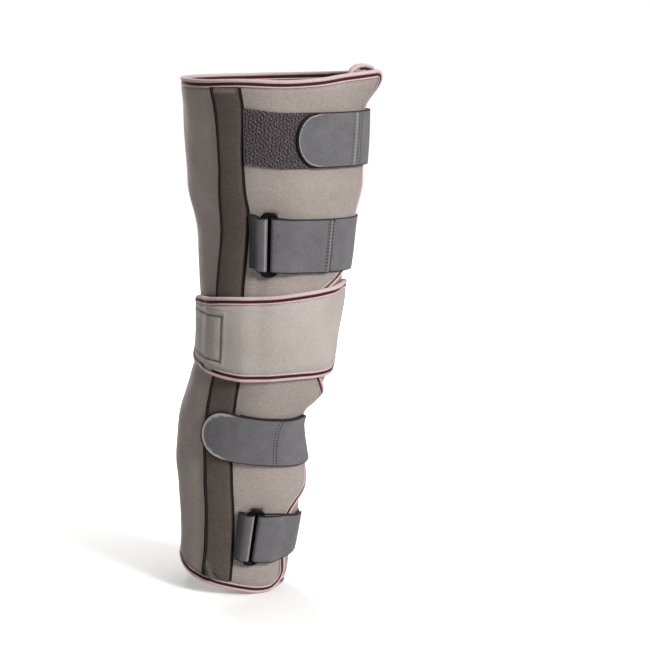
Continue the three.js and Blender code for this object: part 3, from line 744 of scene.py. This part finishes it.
def makePadding(name, columns, rows, place, wall):
    piece = clothGrid(name, columns, rows, place)
    shares = np.empty(len(piece.data.vertices), np.float32)
    piece.data.attributes["thin"].data.foreach_get("value", shares)
    group = wallGroup(piece, shares)
    finishWith(piece, "SOLIDIFY", thickness=wall / 1000, offset=-1, vertex_group=group)
    piece.vertex_groups.clear()
    piece.data.attributes.remove(piece.data.attributes["thin"])
    softShade(piece)
    return piece


foamPanel = makePadding("foam_panel", panelSet["columns"], panelSet["rows"], placePanel, panelSet["wall"])
print("stage: foam panel")

# Tape folded over an edge

tapeSet = {
    "spacing": 2.4,
    "wall": 0.8,
    "samples": 500,  # along each side of the sheet, before the even spacing
    "inside": 0.01,  # how far in from the border the face's direction is read
    "merge": 0.01,
    "wave": (0.12, 3.1, 17),  # height, and two lengths that beat
    "ribPitch": 1.6,
    "fibre": {"Scale": 1000 / 0.9, "Detail": 3, "Roughness": 0.6},
    "nap": 0.22,
    "lineMiddle": 3.6,
    "lineHalf": 1.4,
    "lineSoft": 0.25,
    "pale": [(0.3, "#ad9395"), (0.7, "#cdb7b7")],
    "red": [(0.3, "#260810"), (0.75, "#501f2b")],
    # distance in from the edge, height over the face: the tape's end, its lip, the groove, the roll
    "profile": [
        (6.2, -1.1),
        (6.4, -0.5),
        (6.2, 0.1),
        (5.8, 0.3),
        (5.4, 0.1),
        (5.05, -0.4),
        (4.6, -0.6),
        (3.8, -0.7),
        (2.9, -0.6),
        (2.35, -0.3),
        (2.05, 0.1),
        (1.6, 0.35),
        (0.9, 0.45),
        (0.2, 0.25),
        (-0.4, -0.25),
        (-0.8, -1.1),
    ],
}


def evenly(values, walk, at):
    return np.stack([np.interp(at, walk, values[:, k]) for k in range(3)], -1)


def foldTape(name, face, wall):
    # walks round the sheet's border: top, free edge, bottom, free edge
    fine = np.linspace(0, 1, tapeSet["samples"])
    s = np.concatenate([fine, 1 + 0 * fine, fine[::-1], 0 * fine])
    t = np.concatenate([1 + 0 * fine, fine[::-1], 0 * fine, fine])
    edge = face(s, t)[0]
    inS, inT = mix(s, 0.5, tapeSet["inside"]), mix(t, 0.5, tapeSet["inside"])
    nudge = tapeSet["inside"] / 5
    inside = face(inS, inT)[0]
    rightWay = face(inS + nudge, inT)[0] - inside
    upWay = face(inS, inT + nudge)[0] - inside
    normal = unit(np.cross(rightWay, upWay))
    gaps = np.linalg.norm(np.diff(edge, axis=0), axis=-1)
    walk = np.concatenate([[0], np.cumsum(gaps)])
    count = int(walk[-1] / tapeSet["spacing"])
    at = np.linspace(0, walk[-1], count, endpoint=False)
    edge, normal, inside = (evenly(values, walk, at) for values in (edge, normal, inside))
    normal = unit(normal)
    for _ in range(2):
        normal = unit(np.roll(normal, 1, 0) + normal + np.roll(normal, -1, 0))
    tangent = unit(np.roll(edge, -2, 0) - np.roll(edge, 2, 0))
    inward = unit(np.cross(normal, tangent))
    inward = inward * np.sign((inward * (inside - edge)).sum(-1, keepdims=True))
    half = tapeSet["profile"]
    profile = np.array(half + [(d, -wall - h) for d, h in half[::-1]])
    across = np.array([d for d, h in half] + [-d for d, h in half[::-1]])

    tall, short, long = tapeSet["wave"]

    def place(u, v):
        i = np.rint(u * count).astype(int) % count
        k = np.rint(v * (len(profile) - 1)).astype(int)
        wave = tall * np.sin(at[i] / short) * np.sin(at[i] / long)
        rise = profile[k, 1] + np.where(k < len(half), wave, -wave)
        points = edge[i] + inward[i] * profile[k, :1] + normal[i] * rise[:, None]
        return {"points": points, "along": np.rint(u * count) * tapeSet["spacing"], "across": across[k]}

    piece = clothGrid(name, count, len(profile) - 1, place)
    mergeSeam(piece, tapeSet["merge"])
    finishWith(piece, "SOLIDIFY", thickness=tapeSet["wall"] / 1000, offset=-1)
    softShade(piece, 60)
    widths = np.linalg.norm(np.diff(profile, axis=0), axis=-1).sum()
    return piece, walk[-1], widths


panelTape, panelTapeLength, tapeCut = foldTape("panel_tape", panelFace, panelSet["wall"])
print("stage: panel tape", round(panelTapeLength), round(tapeCut, 1))

# Stay sleeve

sleeveSet = {
    "width": 27,
    "flange": 3,  # sewn flat beyond the width, over both sides
    "rise": 3,
    "clear": 6.5,  # from the rim, under the tape's lip
    "seat": 0.12,  # the flange's rise off the panel
    "wall": 0.5,
    "sag": (0.25, 13, 31),  # depth, and two lengths that beat
    "endRise": (1, 5, 0.3),  # before and past the clear end, and the share of the rise there
    "bar": (9.5, 1.4, 2.2, 0.3, 0.36),  # below the rim, half height, its fade, half length, its fade
    "stitches": (0.46, 0.6, 1.4),  # place across, half width, where they fade out
    "leftShade": (0.325, 0.35),  # places across where the painted shade along the flanges starts and is full
    "rightShade": (0.4, 0.42),
    "columns": 44,
    "rows": 240,
    # level, angle of the centre line, share of the width
    "line": [
        (1.06, -33, 1.12),
        (0.9, -28.6, 1.06),
        (0.73, -28, 0.86),
        (0.6, -28.3, 0.94),
        (0.5, -28.8, 1.08),
        (0.4, -31, 1.03),
        (0.15, -34.5, 1.05),
        (-0.17, -31, 0.98),
        (-0.55, -21.5, 0.99),
        (-1.06, -15, 1),
    ],
    # folds near the lower end: from angle and height to angle and height, half width, rise
    "tuck": [(-31, -208, -17, -234, 2.6, 3), (-29, -220, -13, -224, 2, -2.6)],
    # place across half the width, share of the rise: crown, shoulder, stitched flange
    "profile": [(0, 1), (0.3, 0.97), (0.39, 0.86), (0.425, 0.6), (0.445, 0.2), (0.46, 0.14), (0.5, 0.16)],
}


def onSleeve(column, z):
    return curveThrough(sleeveSet["line"], column, z / lengthAt(z))


def placeSleeve(s, t):
    low, high = rimHeights(np.array(360 + sleeveSet["line"][0][1]))
    z = mix(low + sleeveSet["clear"], high - sleeveSet["clear"], t)
    centre, wide = onSleeve(1, z), onSleeve(2, z) * sleeveSet["width"] + sleeveSet["flange"]
    place = np.array(sleeveSet["profile"])
    across = s - 0.5
    rise = np.interp(np.abs(across), place[:, 0], place[:, 1])
    before, past, share = sleeveSet["endRise"]
    ends = ease(np.minimum(z - low, high - z), sleeveSet["clear"] - before, sleeveSet["clear"] + past)
    rise = rise * mix(share, 1, ends)
    depth, short, long = sleeveSet["sag"]
    sag = depth * np.sin(z / short) * np.sin(z / long + 1) * (1 - (2 * across) ** 2)
    angle = centre + degrees(across * wide, centre, z)
    lift = sleeveSet["seat"] + sleeveSet["rise"] * rise + sag + creaseLift(sleeveSet["tuck"], angle, z)
    row, half, fade = sleeveSet["stitches"]
    fromRow = np.abs(np.abs(across) - row) * wide
    below, tall, tallFade, reach, reachFade = sleeveSet["bar"]
    bar = 1 - ease(np.abs(high - z - below), tall, tallFade)
    bar = bar * (1 - ease(np.abs(across), reach, reachFade))
    # painted shade along both flanges, where the raised sleeve meets the panel
    shade = ease(-across, *sleeveSet["leftShade"]) + ease(across, *sleeveSet["rightShade"])
    return {
        "points": surface(angle, z, lift),
        "along": across * wide,
        "across": z,
        "stitch": 1 - ease(fromRow, half, fade) + 0 * z,
        "bar": bar,
        "edge": shade + 0 * z,
    }


staySleeve = clothGrid("stay_sleeve", sleeveSet["columns"], sleeveSet["rows"], placeSleeve)
finishWith(staySleeve, "SOLIDIFY", thickness=sleeveSet["wall"] / 1000, offset=-1)
softShade(staySleeve)
print("stage: stay sleeve")

# Knee band

bandSet = {
    "height": 75,
    "level": 0.05,
    "wall": 3.6,
    "gap": 1.1,
    "corner": 26,
    "ends": (-99, 122),
    "recess": 1.0,
    "overSleeve": (1.15, 2.5),  # half widths of the sleeve where the band comes down beside it
    "crowd": 0.4,
    "margin": (6, 9),
    "stitches": (9, 0.5, 1.5, 0.4),
    "perDegree": 1.1,
    "columns": 250,
    "rows": 84,
    # angle, top edge and bottom edge as shares of the height
    "outline": [
        (-100, 0.27, -0.5),
        (-54, 0.325, -0.535),
        (-31, 0.385, -0.53),
        (0, 0.455, -0.475),
        (25, 0.535, -0.42),
        (55, 0.615, -0.4),
        (85, 0.645, -0.37),
        (125, 0.6, -0.38),
    ],
    "creases": [
        (-58, 28, -30, 31, 1.8, 1.0),
        (-54, 33, -34, 36, 1.6, -0.7),
        (-60, -20, -32, -19, 2, 0.7),
        (-30, 10, 10, 22, 9, 0.5),
        (85, 20, 60, 8, 5, 0.5),
    ],
    # the stitched patch: left and right angle, top and bottom height at its right side, tilt by the degree
    "patch": (-86, -36, 24, -14, 0.07),
    # round the patch: the stitched groove's half width and depth, the ridge beyond it, the puffed middle,
    # and the painted shade in the groove, its half width and strength
    "groove": (1.2, 1.1),
    "ridge": (2.6, 1.3, 0.5),
    "puff": (1, 7, 0.7),
    "grooveShade": (0.8, 0.6),
}


def bandLift(angle, z):
    centre = onSleeve(1, z)
    away = np.abs(angle - centre) / degrees(sleeveSet["width"] / 2, centre, z)
    over = (seamGap + sleeveSet["rise"]) * (1 - ease(away, *bandSet["overSleeve"]))
    return settle(angle, z) + bandSet["gap"] + over


def bandFace(s, t, drop=0):
    middle = height(bandSet["level"])
    ends = []
    depth = np.minimum(t, 1 - t) * bandSet["height"]
    cut = cornerCut(depth, bandSet["corner"])
    for angle, way in zip(bandSet["ends"], (1, -1)):
        ends.append(angle + way * degrees(cut, angle, middle))
    angle = mix(ends[0], ends[1], s)
    high = middle + curveThrough(bandSet["outline"], 1, angle) * bandSet["height"]
    low = middle + curveThrough(bandSet["outline"], 2, angle) * bandSet["height"]
    z = mix(low, high, t)
    creases = creaseLift(bandSet["creases"], angle, z)
    lift = bandLift(angle, z) + bandSet["wall"] - drop + creases
    side = np.minimum(angle - ends[0], ends[1] - angle) / degrees(1, angle, z)
    edge = np.minimum(np.minimum(high - z, z - low), side)
    return surface(angle, z, lift), edge, angle, z


def fromPatch(angle, z):
    # distance outside the patch's border, less than nothing inside it
    left, right, top, bottom, tilt = bandSet["patch"]
    level = z - tilt * (angle - right)
    beside = np.maximum(angle - right, left - angle) * bandSet["perDegree"]
    return np.maximum(beside, np.maximum(level - top, bottom - level))


def placeBand(s, t):
    t = crowded(t, bandSet["crowd"])
    _, edge, angle, z = bandFace(s, t)
    press = 1 - ease(edge, *bandSet["margin"])
    outside = fromPatch(angle, z)
    half, deep = bandSet["groove"]
    groove = np.exp(-((outside / half) ** 2))
    away, ridgeHalf, tall = bandSet["ridge"]
    ridge = np.exp(-(((outside - away) / ridgeHalf) ** 2))
    start, full, swell = bandSet["puff"]
    puff = ease(-outside, start, full) * swell
    shadeHalf, shadeStrength = bandSet["grooveShade"]
    return {
        "points": bandFace(s, t, bandSet["recess"] * press + deep * groove - tall * ridge - puff)[0],
        "along": angle * bandSet["perDegree"],
        "across": z,
        "thin": 1 - 2 * bandSet["recess"] * press / bandSet["wall"],
        "stitch": np.maximum(stitchRow(edge, bandSet["stitches"]), groove),
        # painted shade in the stitched groove round the patch
        "edge": shadeStrength * np.exp(-((outside / shadeHalf) ** 2)),
    }


kneeBand = makePadding("knee_band_pad", bandSet["columns"], bandSet["rows"], placeBand, bandSet["wall"])
bandTape, bandTapeLength, _ = foldTape("band_tape", bandFace, bandSet["wall"])
print("stage: knee band", round(bandTapeLength))

# Straps, tabs and rings

layerLift = strapSet["gap"] + strapSet["wall"] / 2
foldedLift = layerLift + strapSet["wall"] + strapSet["foldGap"]
turnRadius = ringSet["wall"] / 2 + seamGap + strapSet["wall"] / 2
turnInset = ringSet["wall"] * ringSet["turnInset"]
# shares of the width where a strap's points lie, closer together near its edges
edgeShares = np.array([0.43, 0.448, 0.464, 0.476, 0.488, 0.5])
acrossShares = np.concatenate([-edgeShares[::-1], np.linspace(-0.4, 0.4, 15), edgeShares])


def drawnIn(strap, key, angle):
    share, start, full, fall, end = strap.get(key, (0, 0, 1, 2, 3))
    return share * ease(angle, start, full) * (1 - ease(angle, fall, end))


def acrossSurface(strap, angle, lift, narrow=1, shares=acrossShares, dents=True):
    z = strapHeight(strap, angle)
    over = settle(angle, np.array(z)) + lift
    low, high = surface(angle, z + np.array([-0.5, 0.5]) * strapSet["width"], over, False)
    even = strapSet["width"] / np.linalg.norm(high - low)
    upper, lower = drawnIn(strap, "upperDraw", angle), drawnIn(strap, "lowerDraw", angle)
    shares = np.where(shares > 0, shares * (1 - upper), shares * (1 - lower))
    return surface(angle, z + shares * narrow * even * strapSet["width"], over, dents)


def besideSleeve(z):
    # the angle just clear of the sleeve over a strap's whole width
    levels = z + np.array([-0.5, 0, 0.5]) * strapSet["width"]
    centre = onSleeve(1, levels)
    reach = centre + degrees(onSleeve(2, levels) * sleeveSet["width"] / 2 + 1, centre, levels)
    return float(reach.max())


def ringFrame(strap):
    z = strapHeight(strap, strap["ring"])
    under = settle(strap["ring"], np.array(z)) + layerLift
    low, high = acrossSurface(strap, strap["ring"], layerLift, 1, np.array([-0.5, 0.5]), False)
    long = unit(high - low)
    along = surface(strap["ring"] + 1, z, under, False) - surface(strap["ring"] - 1, z, under, False)
    along = unit(along - long * (along @ long))
    out = np.cross(along, long)
    sag = (ringSet["width"] / 2) ** 2 / hollowForm["kneeWidth"] * ringSet["seat"]
    return (low + high) / 2 + out * (turnRadius + sag), along, long, out


def acrossRing(ring, x, y):
    origin, along, long, out = ring
    return origin + along * x + out * y + long * (acrossShares * strapSet["width"])[:, None]


def turnRound(ring, side):
    past = side * (ringSet["width"] / 2 + 1)
    centre = side * (ringSet["width"] / 2 - ringSet["bar"] + turnInset)
    arc = [acrossRing(ring, past, -turnRadius)]
    for turn in np.linspace(0, math.pi, ringSet["turnSteps"]):
        x = centre - side * turnRadius * math.sin(turn)
        arc.append(acrossRing(ring, x, -turnRadius * math.cos(turn)))
    return [*arc, acrossRing(ring, past, turnRadius)]


def sweepAngles(start, end, gap=strapSet["step"]):
    count = max(2, round(abs(end - start) / gap))
    return [mix(start, end, (k + 1) / count) for k in range(count)]


def makeRibbon(name, stations, facts):
    # stations are rows of points across the ribbon; facts gives attributes for each station and share
    rows = np.array(stations)
    steps = np.linalg.norm(np.diff(rows[:, rows.shape[1] // 2], axis=0), axis=-1)
    walk = np.concatenate([[0], np.cumsum(steps)])
    last = len(rows) - 1

    def place(s, t):
        i, k = np.rint(s * last).astype(int), np.rint(t * (len(acrossShares) - 1)).astype(int)
        laid = {"points": rows[i, k], "along": walk[i], "across": acrossShares[k] * strapSet["width"]}
        for key, values in facts.items():
            laid[key] = np.asarray(values)[i, k]
        return laid

    piece = clothGrid(name, last, len(acrossShares) - 1, place)
    finishWith(piece, "SOLIDIFY", thickness=strapSet["wall"] / 1000, offset=0)
    rounding = {"width": strapSet["bevel"] / 1000, "segments": 2, "angle_limit": math.radians(60)}
    finishWith(piece, "BEVEL", limit_method="ANGLE", **rounding)
    softShade(piece)
    return piece, walk[-1]


def besideRing(strap, side, run):
    # the angle where the webbing is a run's length clear of its ring
    z = strapHeight(strap, strap["ring"])
    return strap["ring"] + side * float(degrees(ringSet["width"] / 2 + run, strap["ring"], z))


def tipLengthOf(number):
    return strapSet["tipCorner" if number in squareTips else "tipLength"]


def within(border, reach, blur):
    return 1 - ease(border, reach - blur, reach + blur)


def tipMarks(number, strap, angle, narrow, perDegree):
    # sewn lines, pale rim and the painted shadow along the cut edge across one station of the folded end
    square, tipLength = number in squareTips, tipLengthOf(number)
    half = strapSet["width"] / 2
    across = np.abs(acrossShares) * strapSet["width"] * narrow
    border = half * narrow - across
    line, pale, shadowReachNow = 0 * across, 0 * across, cutEdge["reach"]
    if angle is not None:
        sewn = [float(1 - ease(abs(angle - at) * perDegree, *cutEdge["seam"])) for at in strapSeams[number]]
        line = line + max(sewn, default=0)
        ahead = abs(angle - strap["tip"]) * perDegree
        if ahead < tipLength and not square:
            reach = np.hypot(across * tipLength / half, tipLength - ahead)
            border = np.minimum(border, tipLength - reach)
        if ahead < tipLength + cutEdge["fade"] and not square:
            shadowReach, paleReach = tipLooks[number]
            near = ease(tipLength + cutEdge["fade"] - ahead, 0, cutEdge["fade"])
            pale = within(border, paleReach, cutEdge["paleBlur"]) * near
            shadowReachNow = mix(cutEdge["reach"], shadowReach, near)
        if len(strapSeams[number]) > 1:
            first, last = strapSeams[number][:2]
            between = ease(angle, first, first + 1) * (1 - ease(angle, last - 1, last))
            pale = np.maximum(pale, cutEdge["betweenSeams"] * float(between))
    return line, pale, within(border, shadowReachNow, cutEdge["shadowBlur"])


def makeStrap(number, strap):
    z = strapHeight(strap, strap["ring"])
    sleeveEdge = besideSleeve(height(strap["level"]))
    root = sleeveEdge if strap["root"] is None else strap["root"]
    side = strap["side"]
    clearRing = besideRing(strap, side, strapSet["ringRun"])
    tipLength = tipLengthOf(number)
    tipHalf = tipLength if number in squareTips else strapSet["width"] / 2
    tipStart = strap["tip"] - side * float(degrees(tipLength, strap["tip"], z))
    overSleeve = seamGap + sleeveSet["rise"] + strapSet["foldGap"] + strapSet["wall"] / 2

    def overLift(angle):
        beside = 1 - ease(abs(angle - clearRing), 0, strapSet["lieDown"])
        onto = 1 - ease(angle, sleeveEdge - 1, sleeveEdge + strapSet["climb"]) if side < 0 else 0
        return mix(mix(foldedLift, overSleeve, onto), layerLift + turnRadius * 2, beside)

    stations = [acrossSurface(strap, angle, layerLift) for angle in [root, *sweepAngles(root, clearRing)]]
    stations += turnRound(ringFrame(strap), side)
    marks = [(None, 1.0)] * len(stations)
    for angle in [clearRing, *sweepAngles(clearRing, tipStart, strapSet["fineStep"])]:
        stations.append(acrossSurface(strap, angle, overLift(angle)))
        marks.append((angle, 1.0))
    for turn in np.linspace(0, math.pi / 2, strapSet["tipSteps"])[1:]:
        share = math.sin(turn)
        angle = mix(tipStart, strap["tip"], share)
        arc = math.sqrt(1 - (strapSet["tipBlunt"] * share) ** 2)
        narrow = 1 - tipHalf / (strapSet["width"] / 2) * (1 - arc)
        stations.append(acrossSurface(strap, angle, overLift(angle), narrow))
        marks.append((angle, narrow))
    perDegree = 1 / float(degrees(1, strap["ring"], z))
    # dark holds the painted shadow along the strap's edges and round its tip
    seam, rim, dark = zip(*(tipMarks(number, strap, angle, narrow, perDegree) for angle, narrow in marks))
    piece, length = makeRibbon("strap_webbing_" + number, stations, {"seam": seam, "rim": rim, "cut": dark})
    print("  strap", number, "cut", round(length))
    return piece, length


def makeTab(number, strap):
    anchor = besideSleeve(height(strap["level"])) if strap["anchor"] is None else strap["anchor"]
    clearRing = besideRing(strap, -strap["side"], strapSet["tabRun"])
    middle = mix(anchor, clearRing, 0.5)
    atRing = layerLift + turnRadius * 2
    under = (anchor, mix(anchor, middle, 0.5), middle, clearRing)
    stations = [acrossSurface(strap, angle, layerLift) for angle in under]
    stations += turnRound(ringFrame(strap), -strap["side"])
    for angle, rise in zip((clearRing, middle, anchor), tabLooks["rises"]):
        stations.append(acrossSurface(strap, angle, mix(foldedLift, atRing, rise)))
    zero = np.zeros((len(stations), len(acrossShares)))
    seam, rim = zero.copy(), zero.copy()
    seam[-1] = seam[0] = tabLooks["seam"]
    # painted highlight on the fold's crest over the ring
    rim[tabLooks["crest"]] = tabLooks["crestHighlight"]
    # painted shadow along the tab's edges, and painted shade on the fold, darker towards the sewn end
    dark = zero + 1 - ease((0.5 - np.abs(acrossShares)) * strapSet["width"], *tabLooks["edge"])
    shades = np.array(tabLooks["shades"])[:, None]
    dark[-len(shades) :] = np.maximum(dark[-len(shades) :], shades)
    return makeRibbon("tab_webbing_" + number, stations, {"seam": seam, "rim": rim, "cut": dark})


def makeRing(number, strap):
    # a torus cut in four and pulled apart into an oblong loop
    bpy.ops.object.select_all(action="DESELECT")
    thick, corner = ringSet["bar"] / 2, ringSet["corner"]
    bpy.ops.mesh.primitive_torus_add(
        major_radius=(corner - thick) / 1000,
        minor_radius=thick / 1000,
        major_segments=ringSet["aroundSteps"],
        minor_segments=ringSet["barSteps"],
    )
    piece = bpy.context.object
    piece.name = piece.data.name = "plastic_ring_" + number
    origin, along, long, out = ringFrame(strap)
    apart = np.array([ringSet["width"] / 2 - corner, ringSet["height"] / 2 - corner, 0]) / 1000
    flatter = ringSet["wall"] / ringSet["bar"]
    for vertex in piece.data.vertices:
        spot = np.array(vertex.co)
        spot[2] *= flatter
        spot += np.sign(np.round(spot, 7)) * apart
        vertex.co = Vector(origin / 1000 + along * spot[0] + long * spot[1] + out * spot[2])
    piece.data.update()
    softShade(piece, 60)
    return piece


strapPieces, strapLengths, tabPieces, tabLengths, ringPieces = {}, {}, {}, {}, {}
for number, strap in straps.items():
    strapPieces[number], strapLengths[number] = makeStrap(number, strap)
    tabPieces[number], tabLengths[number] = makeTab(number, strap)
    ringPieces[number] = makeRing(number, strap)
print("stage: straps, tabs and rings")

# Loop pile on the face of strap 1, where the folded end leaves it bare

pileSet = {
    "columns": 150,
    "rows": 96,
    "end": 29,
    "long": 50,
    "wall": 0.3,
    "under": 0.15,
    "tall": 0.9,
    "waves": 26,
    "shortest": 1.7,
    "longest": 3.4,
    "spread": 9,  # what the sum of the waves is divided by
    "inset": 0.6,
    "perDegree": 1.35,
    "border": 1.6,
    "borderTall": 0.35,
    "limits": (0.05, 1.1),
    # millimetres past the fold's end where the pile is pressed flat, and where it is in shadow
    "covered": (-2, 0),
    "shadow": (-3.2, -1.2),
    "bend": 3,
    "loop": 1.9,
    "fibre": {"Scale": 1000 / 0.9, "Detail": 3, "Roughness": 0.7},
    "nap": 0.9,
    "grey": [(0.3, "#2b2526"), (0.6, "#544b4f"), (0.95, "#7c7377")],
    "shade": "#0f0c0d",
}
pileSource = np.random.default_rng(11)
pileTurns = pileSource.uniform(0, fullTurn, pileSet["waves"])
pileSizes = fullTurn / pileSource.uniform(pileSet["shortest"], pileSet["longest"], pileSet["waves"])
pileWays = np.stack([np.cos(pileTurns) * pileSizes, np.sin(pileTurns) * pileSizes])
pilePhases = pileSource.uniform(0, fullTurn, pileSet["waves"])


def placePile(s, t):
    strap = straps["1"]
    start = besideSleeve(height(strap["level"])) + pileSet["inset"]
    angle = mix(start, pileSet["end"], s)
    z = strapHeight(strap, angle) + (t - 0.5) * (strapSet["width"] - pileSet["inset"])
    spots = np.stack([angle * pileSet["perDegree"], z], -1)
    loops = 0.5 + np.sin(spots @ pileWays + pilePhases).sum(-1) / pileSet["spread"]
    # under the rounded end of the fold the pile lies flat, and beside it in shadow
    ahead = (angle - strap["tip"]) / degrees(1, angle, z)
    bend = strapSet["tipLength"] * (1 - np.sqrt(np.maximum(1 - ((t - 0.5) * 2) ** 2, 0)))
    covered = ease(ahead - bend, *pileSet["covered"])
    fromEdge = np.minimum(np.minimum(t, 1 - t) * strapSet["width"], s * pileSet["long"])
    standing = mix(pileSet["borderTall"], 1, ease(fromEdge, 0, pileSet["border"])) * (1 - covered)
    tall = pileSet["under"] + pileSet["tall"] * np.clip(loops, *pileSet["limits"]) * standing
    return {
        "points": surface(angle, z, strapSet["gap"] + strapSet["wall"] + tall),
        "along": angle * pileSet["perDegree"],
        "across": z,
        "tall": np.clip(loops, 0, 1),
        "edge": ease(ahead - bend, *pileSet["shadow"]),
    }


loopPile = clothGrid("loop_pile", pileSet["columns"], pileSet["rows"], placePile)
finishWith(loopPile, "SOLIDIFY", thickness=pileSet["wall"] / 1000, offset=-1)
softShade(loopPile, 80)
print("stage: loop pile")

# Finishes, and what each piece stands for

panelCloth = brushedNylon("brushed_nylon_taupe", brushedCloth["panel"])
sleeveCloth = brushedNylon("brushed_nylon_dark", brushedCloth["sleeve"])
bandCloth = brushedNylon("brushed_nylon_light", brushedCloth["band"])
bindingTape = tapeMaterial()
webbing = webbingMaterial()
pileCloth = pileMaterial()
acetal = ringMaterial()

handOver(foamPanel, panelCloth, "panel_cloth", "wrap_panel")
handOver(panelTape, bindingTape, "binding_tape", "panel_binding")
handOver(staySleeve, sleeveCloth, "pocket_cloth", "stay_pocket")
handOver(kneeBand, bandCloth, "band_cloth", "knee_band")
handOver(bandTape, bindingTape, "binding_tape", "band_binding")
handOver(loopPile, pileCloth, "strap_webbing")
for number in straps:
    handOver(strapPieces[number], webbing, "strap_webbing", "strap_" + number)
    handOver(tabPieces[number], webbing, "strap_webbing", "tab_" + number)
    handOver(ringPieces[number], acetal, "ring_plastic", "ring_" + number)

panelCut, panelArea = cutSize(panelFace)
bandCut, bandArea = cutSize(bandFace)
print("  panel cut", np.round(panelCut, 3), round(panelArea, 4))
print("  band cut", np.round(bandCut, 3), round(bandArea, 4))
print("stage: finishes")

# Floor and light

# the floor's size in metres and its gap in millimetres; the sky's strength for the piece and for the eye
lightSet = {
    "floorSize": 40,
    "floorGap": 0.5,
    "floor": "#fbfaf9",
    "bounce": "#cbc9c7",
    "sky": 0.08,
    "backdrop": 1.0,
    # kind, where it comes from, softness in degrees or size in metres, strength
    "key": ("SUN", (1.0, -1.0, 0.75), 18, 3.65),
    "top": ("SUN", (0.15, -0.1, 1.0), 50, 1.6),
    "rim": ("AREA", (-0.75, 1.6, 0.35), 0.5, 30),
}
bpy.ops.object.select_all(action="DESELECT")
bpy.ops.mesh.primitive_plane_add(size=lightSet["floorSize"], location=(0, 0, 0))
floor = bpy.context.object
floor.name = "floor"
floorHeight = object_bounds()[0].z - lightSet["floorGap"] / 1000
for vertex in floor.data.vertices:
    vertex.co.z = floorHeight
floorPaint, floorTree, floorShader = newMaterial("matt_studio_floor", Roughness=0.8)
# the floor looks white, but throws less light up on the piece than a white floor would
seen = addNode(floorTree, "LightPath", {}).outputs["Is Camera Ray"]
paints = {6: linear(lightSet["bounce"]), 7: linear(lightSet["floor"])}
paint = addNode(floorTree, "Mix", {"data_type": "RGBA", 0: seen, **paints}).outputs[2]
floorTree.links.new(paint, floorShader.inputs["Base Color"])
floor.data.materials.append(floorPaint)
for name in ("key", "top", "rim"):
    kind, place, softness, power = lightSet[name]
    bpy.ops.object.light_add(type=kind, location=place)
    lamp = bpy.context.object
    lamp.name = name + "_light"
    lamp.rotation_euler = (-Vector(place)).to_track_quat("-Z", "Y").to_euler()
    lamp.data.energy = power
    if kind == "SUN":
        lamp.data.angle = math.radians(softness)
    else:
        lamp.data.size = softness
world = bpy.data.worlds.new("pale_room")
world.use_nodes = True
background = world.node_tree.nodes["Background"]
background.inputs["Color"].default_value = (1, 1, 1, 1)
# the eye sees a pale backdrop, and the piece only a little of its light
seen = addNode(world.node_tree, "LightPath", {}).outputs["Is Camera Ray"]
skies = {0: seen, 1: lightSet["backdrop"] - lightSet["sky"], 2: lightSet["sky"]}
share = addNode(world.node_tree, "Math", {"operation": "MULTIPLY_ADD", **skies}).outputs[0]
world.node_tree.links.new(share, background.inputs["Strength"])
bpy.context.scene.world = world
bpy.context.scene.view_settings.view_transform = "Standard"
print("stage: floor and light")
